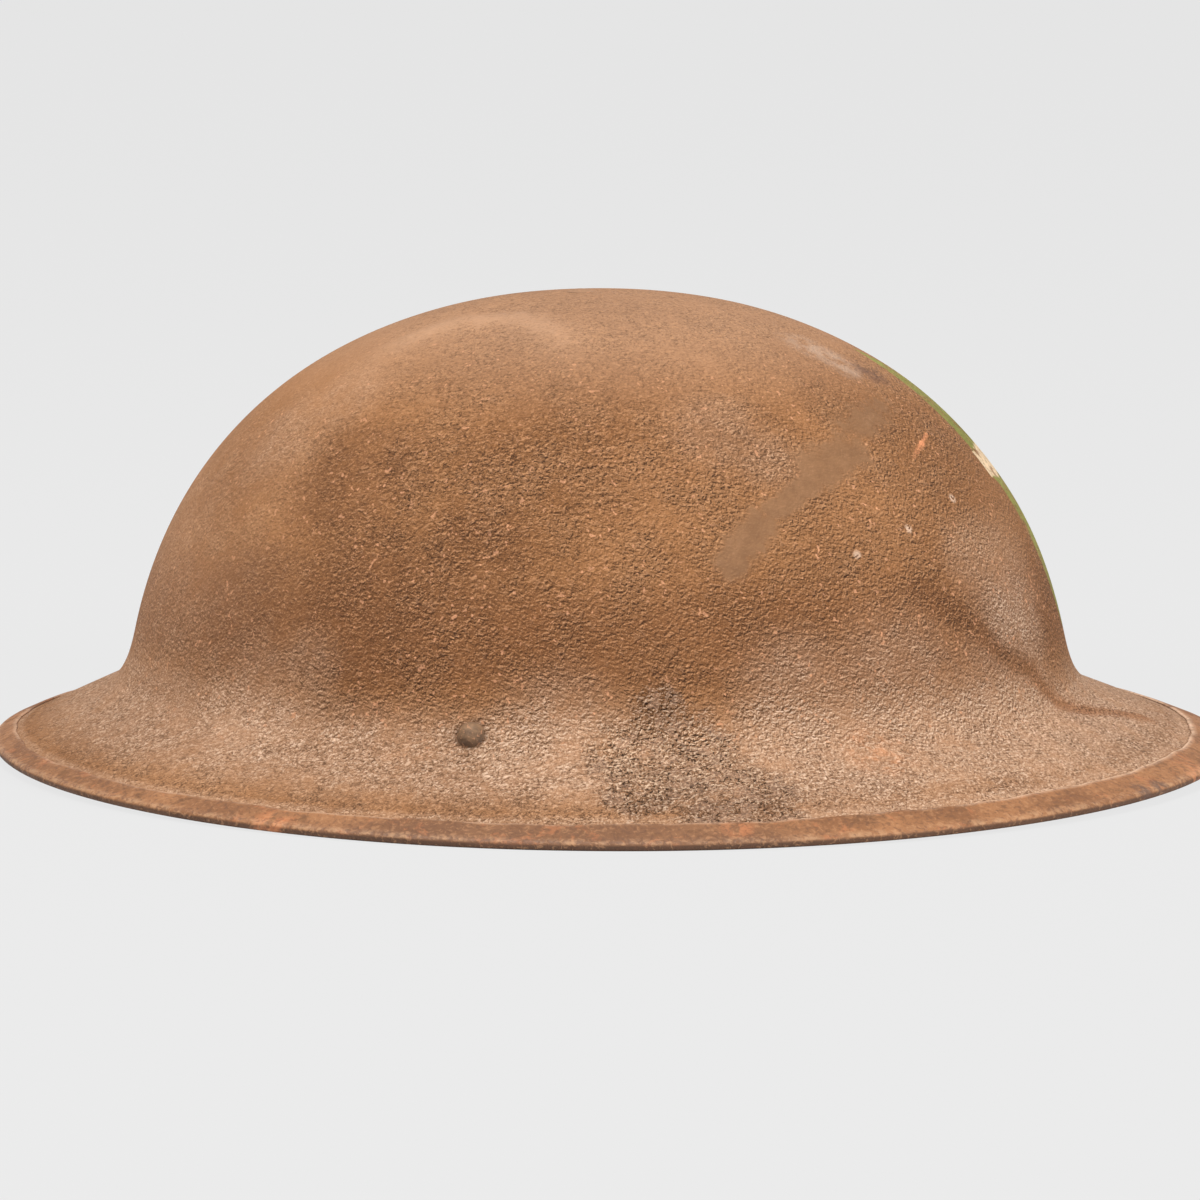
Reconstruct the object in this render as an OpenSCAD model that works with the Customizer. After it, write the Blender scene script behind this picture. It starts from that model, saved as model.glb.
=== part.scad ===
/* [Shell] */
// Overall length of the helmet, rim to rim, front to back
overall_length = 311; // [295:1:325]
// Overall width of the helmet, rim to rim
overall_width = 290; // [278:1:300]
// Half length of the dome where it would meet the base plane
dome_half_length = 119.85; // [114:0.05:123]
// Half width of the dome where it would meet the base plane
dome_half_width = 109.85; // [105:0.05:113]
// Height of the crown above the surface the rim rests on
crown_height = 115.7; // [108:0.1:124]
// Squareness of the dome: 2 is an ellipsoid, more is fuller at the shoulders
dome_power = 2.235; // [2.05:0.005:2.5]
// Distance of the dome's centre behind the rim's centre
dome_setback = 3; // [0:0.5:6]
// Thickness of the pressed steel sheet
shell_wall = 1; // [0.8:0.1:1.4]

/* [Brim] */
// Run of the flare from the dome's base line to the straight brim
flare_run = 7.85; // [5:0.05:11]
// Height of the flare's lower end
flare_height = 14.7; // [12:0.1:18]
// Height of the sheet's edge above the rest plane at the sides
rim_height_sides = 1.2; // [1.2:0.1:2]
// How much higher the rim is at the front and back than at the sides
rim_lift = 2; // [0:0.5:4]

/* [Rim binding] */
// Thickness of the folded binding strip
binding_sheet = 0.6; // [0.4:0.1:0.8]
// Play between the binding and the sheet it is folded over
binding_play = 0.1; // [0.05:0.05:0.2]
// Width of the binding's flanges at the back
binding_width_back = 5; // [4:0.5:7]
// Width of the binding's flanges at the front
binding_width_front = 9; // [5:0.5:11]
// Opening of the butt joint between the binding's two ends
binding_joint = 0.8; // [0.4:0.2:2]

/* [Crown] */
// Distance of the crown rivet behind the rim's centre
crown_rivet_setback = 8; // [4:0.5:12]
// Diameter of the crown rivet's shank
crown_rivet_d = 4.8; // [4:0.2:6]
// Diameter of the crown rivet's head
crown_rivet_head_d = 6.8; // [6.6:0.2:12]
// Height of the crown rivet's head
crown_rivet_head_h = 0.8; // [0.7:0.1:2.4]
// Diameter of the washer under the rivet's clenched end
crown_washer_d = 18; // [14:1:24]
// Thickness of that washer
crown_washer_t = 0.8; // [0.5:0.1:1.2]
// Diameter of the felt pad in the crown
crown_pad_d = 72; // [50:1:80]
// Thickness of the felt pad
crown_pad_t = 4; // [2:0.5:6]

/* [Lining] */
// Width of each crossing cradle band
cradle_width = 22; // [16:1:24]
// Thickness of the oilcloth of the cradle and of the buffer band
oilcloth_t = 1.2; // [0.8:0.1:1.6]
// Play between the cradle and the dome at a band's centre line
cradle_play = 1; // [0.9:0.1:1.5]
// Number of rubber buffers round the band
buffer_count = 12; // [8:4:12]
// Outer diameter of a rubber buffer
buffer_d = 12.5; // [10:0.1:13]
// Bore of a rubber buffer
buffer_bore_d = 6; // [4:0.5:7]
// Length of a rubber buffer
buffer_length = 22; // [16:1:24]
// Height of the buffers' centre lines
buffer_height = 38; // [36:0.5:40]
// Thickness of the headband's leather
headband_t = 2; // [1.5:0.1:2.5]
// Height of the headband's lower edge
headband_bottom = 15; // [13:0.5:18]
// Height of the headband's upper edge
headband_top = 46; // [44.5:0.5:48]
// Height of the rolled hem on the headband's lower edge
hem_height = 3; // [2:0.5:4]
// How far the rolled hem stands out on the headband's outer side
hem_depth = 0.8; // [0.4:0.1:1]

/* [Net] */
// Number of meshes round the net
net_columns = 20; // [16:1:24]
// Number of rows of meshes
net_rows = 7; // [5:1:8]
// Thickness and breadth of the net's cord
net_cord_d = 2; // [1.5:0.1:2.4]
// Distance of the net's crown below the felt pad
net_drop = 8.1; // [6.5:0.1:16]
// Radius of the ring the drawcord gathers at the crown
net_ring_r = 16; // [12:1:22]
// Diameter of the drawcord
drawcord_d = 1.8; // [1.4:0.1:2.4]

/* [Bails] */
// Distance of the bail lugs behind the rim's centre
lug_setback = 26; // [20:1:32]
// Place of the lug rivet down the flare, 0 at the dome and 1 at the brim
lug_drop = 0.5; // [0.4:0.05:0.6]
// Width of a lug
lug_width = 12; // [10:0.5:13]
// Length of a lug above its rivet
lug_reach = 5; // [4:0.5:6]
// Thickness of the strip that is folded into a lug
lug_sheet = 1; // [0.8:0.1:1.2]
// Distance from the lug's rivet down to the bail's axis
knuckle_drop = 6.6; // [6.2:0.1:8]
// Diameter of the lug rivet's shank
lug_rivet_d = 4; // [3:0.2:4.6]
// Diameter of the lug rivet's head
lug_rivet_head_d = 6.6; // [5.5:0.1:7.5]
// Height of the lug rivet's head
lug_rivet_head_h = 1.9; // [1.2:0.1:2.4]
// Diameter of the bail's wire
bail_wire_d = 2.4; // [2:0.1:2.8]
// Width of a bail between the centres of its legs
bail_width = 17; // [16:0.5:20]
// Height of a bail between the centres of its bars
bail_drop = 7.6; // [7:0.1:8.4]
// Bend radius of the bail's corners, to the wire's centre
bail_bend = 2; // [1.6:0.1:2.4]
// Radial play of the bail in its lug
bail_play = 0.1; // [0.05:0.01:0.1]

/* [Chin strap] */
// Width of the strap
strap_width = 12; // [10:0.5:13]
// Thickness of the strap's leather
strap_t = 1.8; // [1.4:0.1:2.2]
// Gap between the strap's two layers where they lie together
strap_layer_gap = 0.3; // [0.2:0.1:0.5]
// Height of the strap's centre line where it stands on edge behind the lining
strap_height = 9.6; // [9.2:0.1:10.5]
// Distance from the headband's outer face back to the middle of the strap's straight run
strap_standoff = 8.243; // [7.5:0.1:9]
// Half length of the strap's straight run
strap_run_half = 24; // [23:0.5:26]
// Radius of the strap's bends on both sides of the run
strap_bend_r = 80; // [76:1:84]
// Length of the doubled tab that is folded round the bail
strap_tab = 13; // [11:0.5:14]
// Diameter of the rivet that closes the tab
tab_rivet_d = 3; // [2.4:0.2:3.6]
// Distance of that rivet from the bail's bar
tab_rivet_reach = 8; // [7:0.5:9]
// Length of the long strap's loose end beyond the run, as an angle of the bend
strap_tip_angle = 28; // [10:1:40]
// Distance between the buckle's bars
buckle_pitch = 9; // [8:0.5:10]
// Diameter of the buckle's bars
buckle_bar_d = 2.2; // [1.8:0.1:2.6]
// Place of the buckle along the run, towards the left
buckle_place = -8; // [-9:0.5:-7]
// Length of the keeper along the strap
keeper_length = 6; // [4:0.5:7]
// Thickness of the keeper's leather
keeper_t = 1.4; // [1:0.1:1.8]
// Place of the keeper along the run, towards the left
keeper_place = 17; // [16:0.5:18]

/* [Hidden] */

$fn = 32;
eps = 0.01;
// Seat clearance between pieces that lie on each other
seat = 0.3;
// Radial play of a rivet in its hole
rivet_play = 0.05;
// Steps round the shell and down its dome, flare and brim
turns = 72;
dome_steps = 13;
flare_steps = 6;
brim_steps = 2;
// Start of the flare, as an angle up the dome's curve
flare_start = 13;
// Lengths of the flare's two handles, as shares of its chord
flare_handles = [0.45, 0.4];

// The bead is the rounded fold of the binding, round the sheet's edge
fold_r = shell_wall / 2 + binding_play;
bead_r = fold_r + binding_sheet;
bead_reach = 0.2;
edge_half_length = overall_length / 2 - bead_r;
edge_half_width = overall_width / 2 - bead_r;
edge_height_sides = rim_height_sides + shell_wall / 2;
edge_height_ends = edge_height_sides + rim_lift;
dome_x = -dome_setback;
crown_x = -crown_rivet_setback;

function unit(v) = v / norm(v);
function mix(a, b, t) = a + (b - a) * t;
function clamp01(t) = min(1, max(0, t));
function ease(t) = t * t * (3 - 2 * t);
function bezier(p, t) =
  pow(1 - t, 3) * p[0] + 3 * t * pow(1 - t, 2) * p[1]
  + 3 * t * t * (1 - t) * p[2] + pow(t, 3) * p[3];

// Profile of the sheet's outer face in a vertical plane. It runs down the dome for s from
// 0 to 1, through the flare to 2 and down the straight brim to 3.
function dome_point(half, phi) = [
  half * pow(cos(phi), 2 / dome_power),
  crown_height * pow(sin(phi), 2 / dome_power)];
function flare_curve(half, edge) =
  let (top = dome_point(half, flare_start))
  let (foot = [half + flare_run, flare_height])
  let (chord = norm(foot - top))
  let (down = unit(top - dome_point(half, flare_start + 1)))
  let (out = unit(edge - foot))
  [top, top + down * chord * flare_handles[0], foot - out * chord * flare_handles[1], foot];
function profile(half, edge, s) =
  s < 1 ? dome_point(half, mix(90, flare_start, s))
  : s < 2 ? bezier(flare_curve(half, edge), s - 1)
  : mix([half + flare_run, flare_height], edge, s - 2);
function profile_normal(half, edge, s) =
  let (along = profile(half, edge, min(3, s + eps)) - profile(half, edge, max(0, s - eps)))
  unit([-along[1], along[0]]);
function sunk_profile(half, edge, s, depth) =
  profile(half, edge, s) - depth * profile_normal(half, edge, s);

// Point of the sheet at s down the profile and at an angle round the shell, a depth below
// the outer face. The dome's centre is set back, and the brim takes up the difference.
function end_edge() = [edge_half_length, edge_height_ends];
function side_edge() = [edge_half_width, edge_height_sides];
function skin(s, angle, depth = 0) =
  let (ends = sunk_profile(dome_half_length, end_edge(), s, depth))
  let (sides = sunk_profile(dome_half_width, side_edge(), s, depth))
  let (reach = profile(dome_half_length, end_edge(), s)[0] - dome_half_length)
  let (out = clamp01(reach / (edge_half_length - dome_half_length)))
  [ends[0] * cos(angle) + dome_x * (1 - out),
   sides[0] * sin(angle),
   ends[1] * pow(cos(angle), 2) + sides[1] * pow(sin(angle), 2)];

// Ring and quad indices for solids that are made of rings of points
function band_faces(first, second, n, flip = false) = [
  for (j = [0:n - 1])
    let (a = first + j)
    let (b = first + (j + 1) % n)
    let (c = second + (j + 1) % n)
    let (d = second + j)
    each (flip ? [[a, c, b], [a, d, c]] : [[a, b, c], [a, c, d]])];

// Closed solid through rings of points, with flat ends. Seen along the rings, the points of
// each go round against the clock.
module ring_solid(rings) {
  n = len(rings[0]);
  last = len(rings) - 1;
  polyhedron(
    points = [for (ring = rings) each ring],
    faces = concat(
      [[for (j = [n - 1:-1:0]) j]],
      [for (i = [0:last - 1]) each band_faces(i * n, (i + 1) * n, n)],
      [[for (j = [0:n - 1]) last * n + j]]));
}

// Strip of a given width and thickness along a path of centre points and width directions
module strip_solid(path, across, width, thickness) {
  last = len(path) - 1;
  ring_solid([for (i = [0:last])
    let (along = unit(path[min(last, i + 1)] - path[max(0, i - 1)]))
    let (side = unit(across[i] - along * (across[i] * along)))
    let (face = cross(side, along))
    [for (k = [[1, 1], [-1, 1], [-1, -1], [1, -1]])
      path[i] + side * k[0] * width / 2 + face * k[1] * thickness / 2]]);
}

// Rivet along z: its head's flat side is at z = 0, its shank goes down through the grip
module rivet(shank_d, grip, head_d, head_h, tail_d, tail_h) {
  head_ball = (pow(head_d / 2, 2) + pow(head_h, 2)) / (2 * head_h);
  rotate_extrude() {
    intersection() {
      translate([0, head_h - head_ball]) circle(r = head_ball, $fn = 96);
      square([head_d, head_h]);
    }
    translate([0, -grip - eps]) square([shank_d / 2, grip + 2 * eps]);
    translate([0, -grip - tail_h]) square([tail_d / 2, tail_h]);
  }
}

// Steel sheet of the dome, flare and brim, with its three rivet holes
steps_down = dome_steps + flare_steps + brim_steps;
function step_place(i) =
  i <= dome_steps ? i / dome_steps
  : i <= dome_steps + flare_steps ? 1 + (i - dome_steps) / flare_steps
  : 2 + (i - dome_steps - flare_steps) / brim_steps;

module sheet() {
  faces_of = [0, shell_wall];
  inner = steps_down * turns;
  outer_pole = 2 * inner;
  inner_pole = outer_pole + 1;
  points = concat(
    [for (depth = faces_of) for (i = [1:steps_down]) for (j = [0:turns - 1])
      skin(step_place(i), j * 360 / turns, depth)],
    [for (depth = faces_of) skin(0, 0, depth)]);
  faces = concat(
    [for (j = [0:turns - 1]) [outer_pole, (j + 1) % turns, j]],
    [for (j = [0:turns - 1]) [inner_pole, inner + j, inner + (j + 1) % turns]],
    [for (i = [0:steps_down - 2]) each
      band_faces(i * turns, (i + 1) * turns, turns)],
    [for (i = [0:steps_down - 2]) each
      band_faces(inner + i * turns, inner + (i + 1) * turns, turns, true)],
    band_faces((steps_down - 1) * turns, inner + (steps_down - 1) * turns, turns));
  polyhedron(points = points, faces = faces);
}

module shell() {
  color([0.36, 0.27, 0.19])
  difference() {
    sheet();
    translate([crown_x, 0, crown_height - 3 * shell_wall])
      cylinder(d = crown_rivet_d + 2 * rivet_play, h = 4 * shell_wall);
    for (side = [0, 1]) mirror([0, side, 0]) at_lug()
      translate([0, 0, -shell_wall])
        cylinder(d = lug_rivet_d + 2 * rivet_play, h = 4 * shell_wall);
  }
}

// Folded edge binding: a channel over the sheet's edge, closed by a butt joint at the back
binding_bends = 4;
function binding_width(angle) =
  mix(binding_width_back, binding_width_front, (1 + cos(angle)) / 2);
function fold_points(r, from, to) = [for (k = [0:binding_bends])
  let (a = mix(from, to, k / binding_bends))
  [bead_reach + r * cos(a), r * sin(a)]];
function binding_section(width) = concat(
  [[-width, -bead_r]], fold_points(bead_r, -90, 90), [[-width, bead_r]],
  [[-width, fold_r]], fold_points(fold_r, 90, -90), [[-width, -fold_r]]);
function binding_ring(angle) =
  let (edge = skin(3, angle, shell_wall / 2))
  let (out = unit(edge - skin(2.5, angle, shell_wall / 2)))
  let (up = unit(skin(3, angle, 0) - skin(3, angle, shell_wall)))
  [for (p = binding_section(binding_width(angle))) edge + out * p[0] + up * p[1]];

module rim_binding() {
  joint_angle = binding_joint / edge_half_length * 180 / PI / 2;
  angles = concat(
    [180 + joint_angle], [for (j = [1:turns - 1]) 180 + j * 360 / turns], [540 - joint_angle]);
  color([0.46, 0.29, 0.17]) ring_solid([for (angle = angles) binding_ring(angle)]);
}

// Heights in the crown, from the sheet's inner face down through the layers
crown_inside = crown_height - shell_wall;
// The upper band dips along its length by this much at the lower band's edges
cradle_dip = crown_height * pow(cradle_width / 2 / dome_half_width, dome_power) / dome_power;
cross_play = cradle_play + oilcloth_t + cradle_dip + seat;
pad_top = crown_inside - cross_play - oilcloth_t - seat;
pad_bottom = pad_top - crown_pad_t;
// The pad is a disc that dips with the dome's curve; the washer lies under its hollow face
pad_curve_r = 130;
washer_top = pad_bottom - pow(crown_washer_d / 2, 2) / 2 / pad_curve_r - seat;
washer_bottom = washer_top - crown_washer_t;

module crown_hole(from, to) {
  translate([crown_x, 0, from]) cylinder(d = crown_rivet_d + 2 * rivet_play, h = to - from);
}

module crown_rivet() {
  color([0.45, 0.33, 0.2])
  translate([crown_x, 0, crown_height])
    rivet(crown_rivet_d, crown_height - washer_bottom, crown_rivet_head_d,
      crown_rivet_head_h, crown_rivet_d * 1.5, 1);
}

module crown_washer() {
  color([0.5, 0.47, 0.4])
  difference() {
    translate([crown_x, 0, washer_bottom]) cylinder(d = crown_washer_d, h = crown_washer_t);
    crown_hole(washer_bottom - 1, washer_top + 1);
  }
}

module crown_pad() {
  color([0.42, 0.4, 0.34])
  translate([crown_x, 0, 0]) rotate_extrude($fn = 48) difference() {
    intersection() {
      translate([0, pad_top - pad_curve_r]) circle(r = pad_curve_r, $fn = 240);
      square([crown_pad_d / 2, crown_height]);
    }
    translate([0, pad_bottom - pad_curve_r]) circle(r = pad_curve_r, $fn = 240);
    square([crown_rivet_d / 2 + rivet_play, crown_height]);
  }
}

// Band round the buffers' inner sides and the leather headband inside it. All sizes are
// half lengths and half widths of ellipses round the dome's centre.
inner_c = crown_inside;
function inside_half(half, z) =
  (half - shell_wall) * pow(1 - pow(z / inner_c, dome_power), 1 / dome_power);
// A straight buffer needs room at its ends, where the round wall comes nearer
buffer_room = pow(buffer_length, 2) / 7 / dome_half_width + seat;
buffer_lean = 1.035;
function buffer_centre(half) =
  inside_half(half, buffer_height) - (buffer_d / 2 + buffer_room) * buffer_lean;
buffer_halves = [buffer_centre(dome_half_length), buffer_centre(dome_half_width)];
band_halves = [buffer_halves[0] - buffer_d / 2 - seat, buffer_halves[1] - buffer_d / 2 - seat];
band_bottom = buffer_height - buffer_d / 2 - 2;
band_top = buffer_height + buffer_d / 2 + 2;
head_halves = [for (half = band_halves) half - oilcloth_t - seat];
head_opening = [for (half = head_halves) half - headband_t];

function ellipse(halves) = [for (j = [0:turns - 1])
  let (a = j * 360 / turns) [halves[0] * cos(a), halves[1] * sin(a)]];

module hoop(halves, thickness, bottom, top) {
  translate([dome_x, 0, bottom]) linear_extrude(top - bottom) difference() {
    polygon(ellipse(halves));
    polygon(ellipse([halves[0] - thickness, halves[1] - thickness]));
  }
}

module buffer_band() {
  color([0.12, 0.12, 0.11]) hoop(band_halves, oilcloth_t, band_bottom, band_top);
}

module headband() {
  color([0.38, 0.22, 0.12]) {
    hoop(head_halves, headband_t, headband_bottom, headband_top);
    hoop([for (half = head_halves) half + hem_depth], headband_t + hem_depth,
      headband_bottom, headband_bottom + hem_height);
  }
}

// Rubber tubes that lie along the band, half a step clear of the cradle's four arms
module rubber_buffer(i) {
  angle = (i - 0.5) * 360 / buffer_count;
  turn = atan2(buffer_halves[1] * cos(angle), -buffer_halves[0] * sin(angle));
  color([0.16, 0.15, 0.14])
  translate([dome_x + buffer_halves[0] * cos(angle), buffer_halves[1] * sin(angle),
    buffer_height])
  rotate([0, 90, turn]) difference() {
    cylinder(d = buffer_d, h = buffer_length, center = true);
    cylinder(d = buffer_bore_d, h = buffer_length + 1, center = true);
  }
}

// Cradle bands: oilcloth that follows the dome, leaves it above the buffers and comes
// down over the band's outer side between two buffers
arm_steps = 12;
hang_steps = 5;
cradle_leave = 60;
cradle_bottom = band_bottom + 3;
function arm_curve(half, band_half, play) =
  let (c = inner_c - play)
  let (a = half - shell_wall - play)
  let (leave = asin(pow(cradle_leave / c, dome_power / 2)))
  let (dome = [for (k = [0:arm_steps])
    let (phi = mix(90, leave, k / arm_steps))
    [a * pow(cos(phi), 2 / dome_power), c * pow(sin(phi), 2 / dome_power)]])
  let (off = dome[arm_steps])
  let (down = unit(off - dome[arm_steps - 1]))
  let (rest = [band_half + seat + oilcloth_t, band_top - 3])
  let (reach = norm(rest - off) * 0.5)
  concat(dome, [for (k = [1:hang_steps])
    bezier([off, off + down * reach, rest + [0, reach], rest], k / hang_steps)],
    [[rest[0], cradle_bottom]]);
function curve_inside(curve, depth) = [for (i = [0:len(curve) - 1])
  let (along = curve[min(len(curve) - 1, i + 1)] - curve[max(0, i - 1)])
  i == 0 ? curve[0] - [0, depth] : curve[i] + depth * unit([along[1], -along[0]])];
function reversed(list) = [for (i = [len(list) - 1:-1:0]) list[i]];

module cradle_band(half, band_half, play) {
  outer = arm_curve(half, band_half, play);
  inner = curve_inside(outer, oilcloth_t);
  rotate([90, 0, 0]) linear_extrude(cradle_width, center = true)
    for (side = [0, 1]) mirror([side, 0]) polygon(concat(outer, reversed(inner)));
}

module cradle_band_long() {
  color([0.13, 0.13, 0.12])
  difference() {
    translate([dome_x, 0, 0]) cradle_band(dome_half_length, band_halves[0], cradle_play);
    crown_hole(pad_top, crown_height);
  }
}

module cradle_band_cross() {
  color([0.13, 0.13, 0.12])
  difference() {
    translate([dome_x, 0, 0]) rotate(90)
      cradle_band(dome_half_width, band_halves[1], cross_play);
    crown_hole(pad_top, crown_height);
  }
}

// Net of diamond meshes between the headband and the drawcord. A knot lies at each
// crossing; odd rows of knots are half a mesh further round.
net_halves = [for (half = head_halves) half - headband_t / 2];
net_base = headband_top + seat;
net_height = pad_bottom - net_base - net_drop;
net_climb = acos(net_ring_r / net_halves[0]);
function net_knot(row, column, level) =
  let (climb = net_climb * row / (net_rows + 1))
  let (angle = (column + (row % 2) / 2) * 360 / net_columns)
  let (gather = row / (net_rows + 1))
  let (share = cos(climb) - cos(net_climb) * gather)
  [dome_x + (net_halves[0] * share + net_ring_r * gather) * cos(angle),
   (net_halves[1] * share + net_ring_r * gather) * sin(angle),
   net_base + net_height * sin(climb)]
  + level * net_cord_d / 2 * [cos(climb) * cos(angle), cos(climb) * sin(angle), sin(climb)];
// The four knots of the mesh whose side knots are in this row, going round it from below
function mesh_knots(row, column) =
  let (next = column + row % 2)
  [[row - 1, next], [row, column + 1], [row + 1, next], [row, column]];
function mesh_hole(corners) =
  let (centre = (corners[0] + corners[1] + corners[2] + corners[3]) / 4)
  let (across = norm(corners[1] - corners[3]) / 2)
  let (up = norm(corners[2] - corners[0]) / 2)
  let (inside = across * up / norm([across, up]))
  [for (p = corners) mix(p, centre, net_cord_d / 2 / inside)];
knot_count = (net_rows + 2) * net_columns;
function knot_index(knot) = knot[0] * net_columns + knot[1] % net_columns;

module net_cap() {
  levels = [1, -1];
  cells = [for (row = [1:net_rows]) for (column = [0:net_columns - 1]) [row, column]];
  holes = 2 * knot_count;
  points = concat(
    [for (level = levels) for (row = [0:net_rows + 1]) for (column = [0:net_columns - 1])
      net_knot(row, column, level)],
    [for (cell = cells) for (level = levels)
      each mesh_hole([for (knot = mesh_knots(cell[0], cell[1]))
        net_knot(knot[0], knot[1], level)])]);
  faces = [for (i = [0:len(cells) - 1]) for (k = [0:3])
    let (row = cells[i][0])
    let (knots = mesh_knots(row, cells[i][1]))
    let (a = knot_index(knots[k]))
    let (b = knot_index(knots[(k + 1) % 4]))
    let (hole_a = holes + 8 * i + k)
    let (hole_b = holes + 8 * i + (k + 1) % 4)
    let (under_a = a + knot_count)
    let (under_b = b + knot_count)
    let (open = (row == 1 && (k == 0 || k == 3)) || (row == net_rows && (k == 1 || k == 2)))
    each concat(
      [[a, hole_a, hole_b], [a, hole_b, b]],
      [[under_a, hole_b + 4, hole_a + 4], [under_a, under_b, hole_b + 4]],
      [[hole_a, hole_a + 4, hole_b + 4], [hole_a, hole_b + 4, hole_b]],
      open ? [[a, under_b, under_a], [a, b, under_b]] : [])];
  color([0.62, 0.57, 0.44]) polyhedron(points = points, faces = faces);
}

module net_drawcord() {
  top = net_knot(net_rows + 1, 0, 0)[2];
  color([0.6, 0.55, 0.42])
  translate([dome_x, 0, top]) rotate_extrude($fn = 48)
    translate([net_ring_r - seat - drawcord_d / 2, 0]) circle(d = drawcord_d, $fn = 16);
}

// Place of the right lug: x along the rim, y up the sheet's inner face, z out of the sheet
lug_s = 1 + lug_drop;
lug_spread = profile(dome_half_length, end_edge(), lug_s)[0];
lug_angle = -acos((-lug_setback - dome_x) / lug_spread);
lug_point = skin(lug_s, lug_angle, shell_wall);
lug_along = unit(skin(lug_s, lug_angle + 1, shell_wall) - skin(lug_s, lug_angle - 1, shell_wall));
lug_yaw = atan2(lug_along[1], lug_along[0]);
lug_normal = profile_normal(dome_half_width, side_edge(), lug_s);
lug_tilt = atan2(lug_normal[0], lug_normal[1]);
module at_lug() {
  translate(lug_point) rotate([0, 0, lug_yaw]) rotate([lug_tilt, 0, 0]) children();
}

// The lug lies on the sheet's inner face; a round wall needs a little room at its edges
lug_play = pow(lug_width / 2, 2) / 2 / dome_half_width + 0.1;
lug_t = 2 * lug_sheet;
knuckle_r = bail_wire_d / 2 + bail_play + lug_sheet;
knuckle_depth = lug_play + lug_t / 2 + 0.8;

module bail_lug() {
  difference() {
    rotate([90, 0, 90]) linear_extrude(lug_width, center = true) difference() {
      union() {
        translate([-knuckle_drop, -lug_play - lug_t])
          square([knuckle_drop + lug_reach, lug_t]);
        translate([-knuckle_drop, -knuckle_depth]) circle(r = knuckle_r);
      }
      translate([-knuckle_drop, -knuckle_depth]) circle(r = bail_wire_d / 2 + bail_play);
    }
    translate([0, 0, -2 * lug_t]) cylinder(d = lug_rivet_d + 2 * rivet_play, h = 3 * lug_t);
  }
}

// The hollow flare rises beside the rivet's head, so the head stands a little off it
lug_head_play = 0.35;
module lug_rivet() {
  translate([0, 0, shell_wall + lug_head_play])
    rivet(lug_rivet_d, shell_wall + lug_head_play + lug_play + lug_t, lug_rivet_head_d,
      lug_rivet_head_h, lug_rivet_d * 1.35, 0.9);
}

// The bail hangs straight down from the knuckle's axis
function turned(v, tilt) = [v[0], v[1] * cos(tilt) - v[2] * sin(tilt),
  v[1] * sin(tilt) + v[2] * cos(tilt)];
function yawed(v, yaw) = [v[0] * cos(yaw) - v[1] * sin(yaw),
  v[0] * sin(yaw) + v[1] * cos(yaw), v[2]];
bail_axis = lug_point + yawed(turned([0, -knuckle_drop, -knuckle_depth], lug_tilt), lug_yaw);
module at_bail() {
  translate(bail_axis) rotate([0, 0, lug_yaw]) children();
}

module bail() {
  straight_x = bail_width - 2 * bail_bend;
  straight_z = bail_drop - 2 * bail_bend;
  for (z = [0, -bail_drop]) translate([-straight_x / 2, 0, z]) rotate([0, 90, 0])
    cylinder(d = bail_wire_d, h = straight_x);
  for (x = [-1, 1]) translate([x * bail_width / 2, 0, -bail_bend - straight_z])
    cylinder(d = bail_wire_d, h = straight_z);
  for (corner = [[1, 1, 0], [-1, 1, 90], [-1, -1, 180], [1, -1, 270]])
    translate([corner[0] * straight_x / 2, 0, (corner[1] * straight_z - bail_drop) / 2])
    rotate([90, 0, 0]) rotate([0, 0, corner[2]])
    rotate_extrude(angle = 90) translate([bail_bend, 0]) circle(d = bail_wire_d);
}

// Strap: a doubled tab round the bail's bar, a twisting lead that stands the strap on its
// edge, a bend round the side and a straight run behind the lining
tab_bore_d = bail_wire_d + 0.6;
bar = bail_axis - [0, 0, bail_drop];
inward = yawed([0, 1, 0], lug_yaw);
lead_angle = 35;
lead_steps = 12;
bend_steps = 10;
strap_run_x = dome_x - head_halves[0] - strap_standoff;
bend_centre = [strap_bend_r + strap_run_x, -strap_run_half];
function bend_point(angle, shift) = [
  bend_centre[0] - (strap_bend_r + shift) * sin(angle),
  bend_centre[1] - (strap_bend_r + shift) * cos(angle), strap_height];
function lead_curve(shift) =
  let (start = bar + inward * (strap_tab - 2))
  let (stop = bend_point(lead_angle, shift))
  let (heading = [-cos(lead_angle), sin(lead_angle), 0])
  [start, start + inward * 13, stop - heading * 26, stop];
function lead_path(shift) = [for (k = [0:lead_steps])
  let (p = bezier(lead_curve(shift), k / lead_steps))
  [p[0], p[1], mix(bar[2], strap_height, ease(clamp01(1.4 * k / lead_steps)))]];
function lead_across() = [for (k = [0:lead_steps])
  let (turn = 90 * ease(clamp01(1.4 * k / lead_steps)))
  yawed([-cos(turn), 0, sin(turn)], lug_yaw)];
function bend_path(shift, to) = [for (k = [1:bend_steps])
  bend_point(mix(lead_angle, to, k / bend_steps), shift)];
function upright(count) = [for (k = [1:count]) [0, 0, 1]];

// The tab is pressed a little wider than the strap
tab_spread = 0.4;
module strap_end() {
  at_bail() translate([0, 0, -bail_drop]) difference() {
    rotate([90, 0, 90]) linear_extrude(strap_width + tab_spread, center = true) difference() {
      union() {
        circle(d = tab_bore_d + 2 * strap_t);
        translate([0, -strap_t]) square([strap_tab, 2 * strap_t]);
      }
      circle(d = tab_bore_d);
    }
    translate([0, tab_rivet_reach, -2 * strap_t])
      cylinder(d = tab_rivet_d + 2 * rivet_play, h = 4 * strap_t);
  }
}

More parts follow.
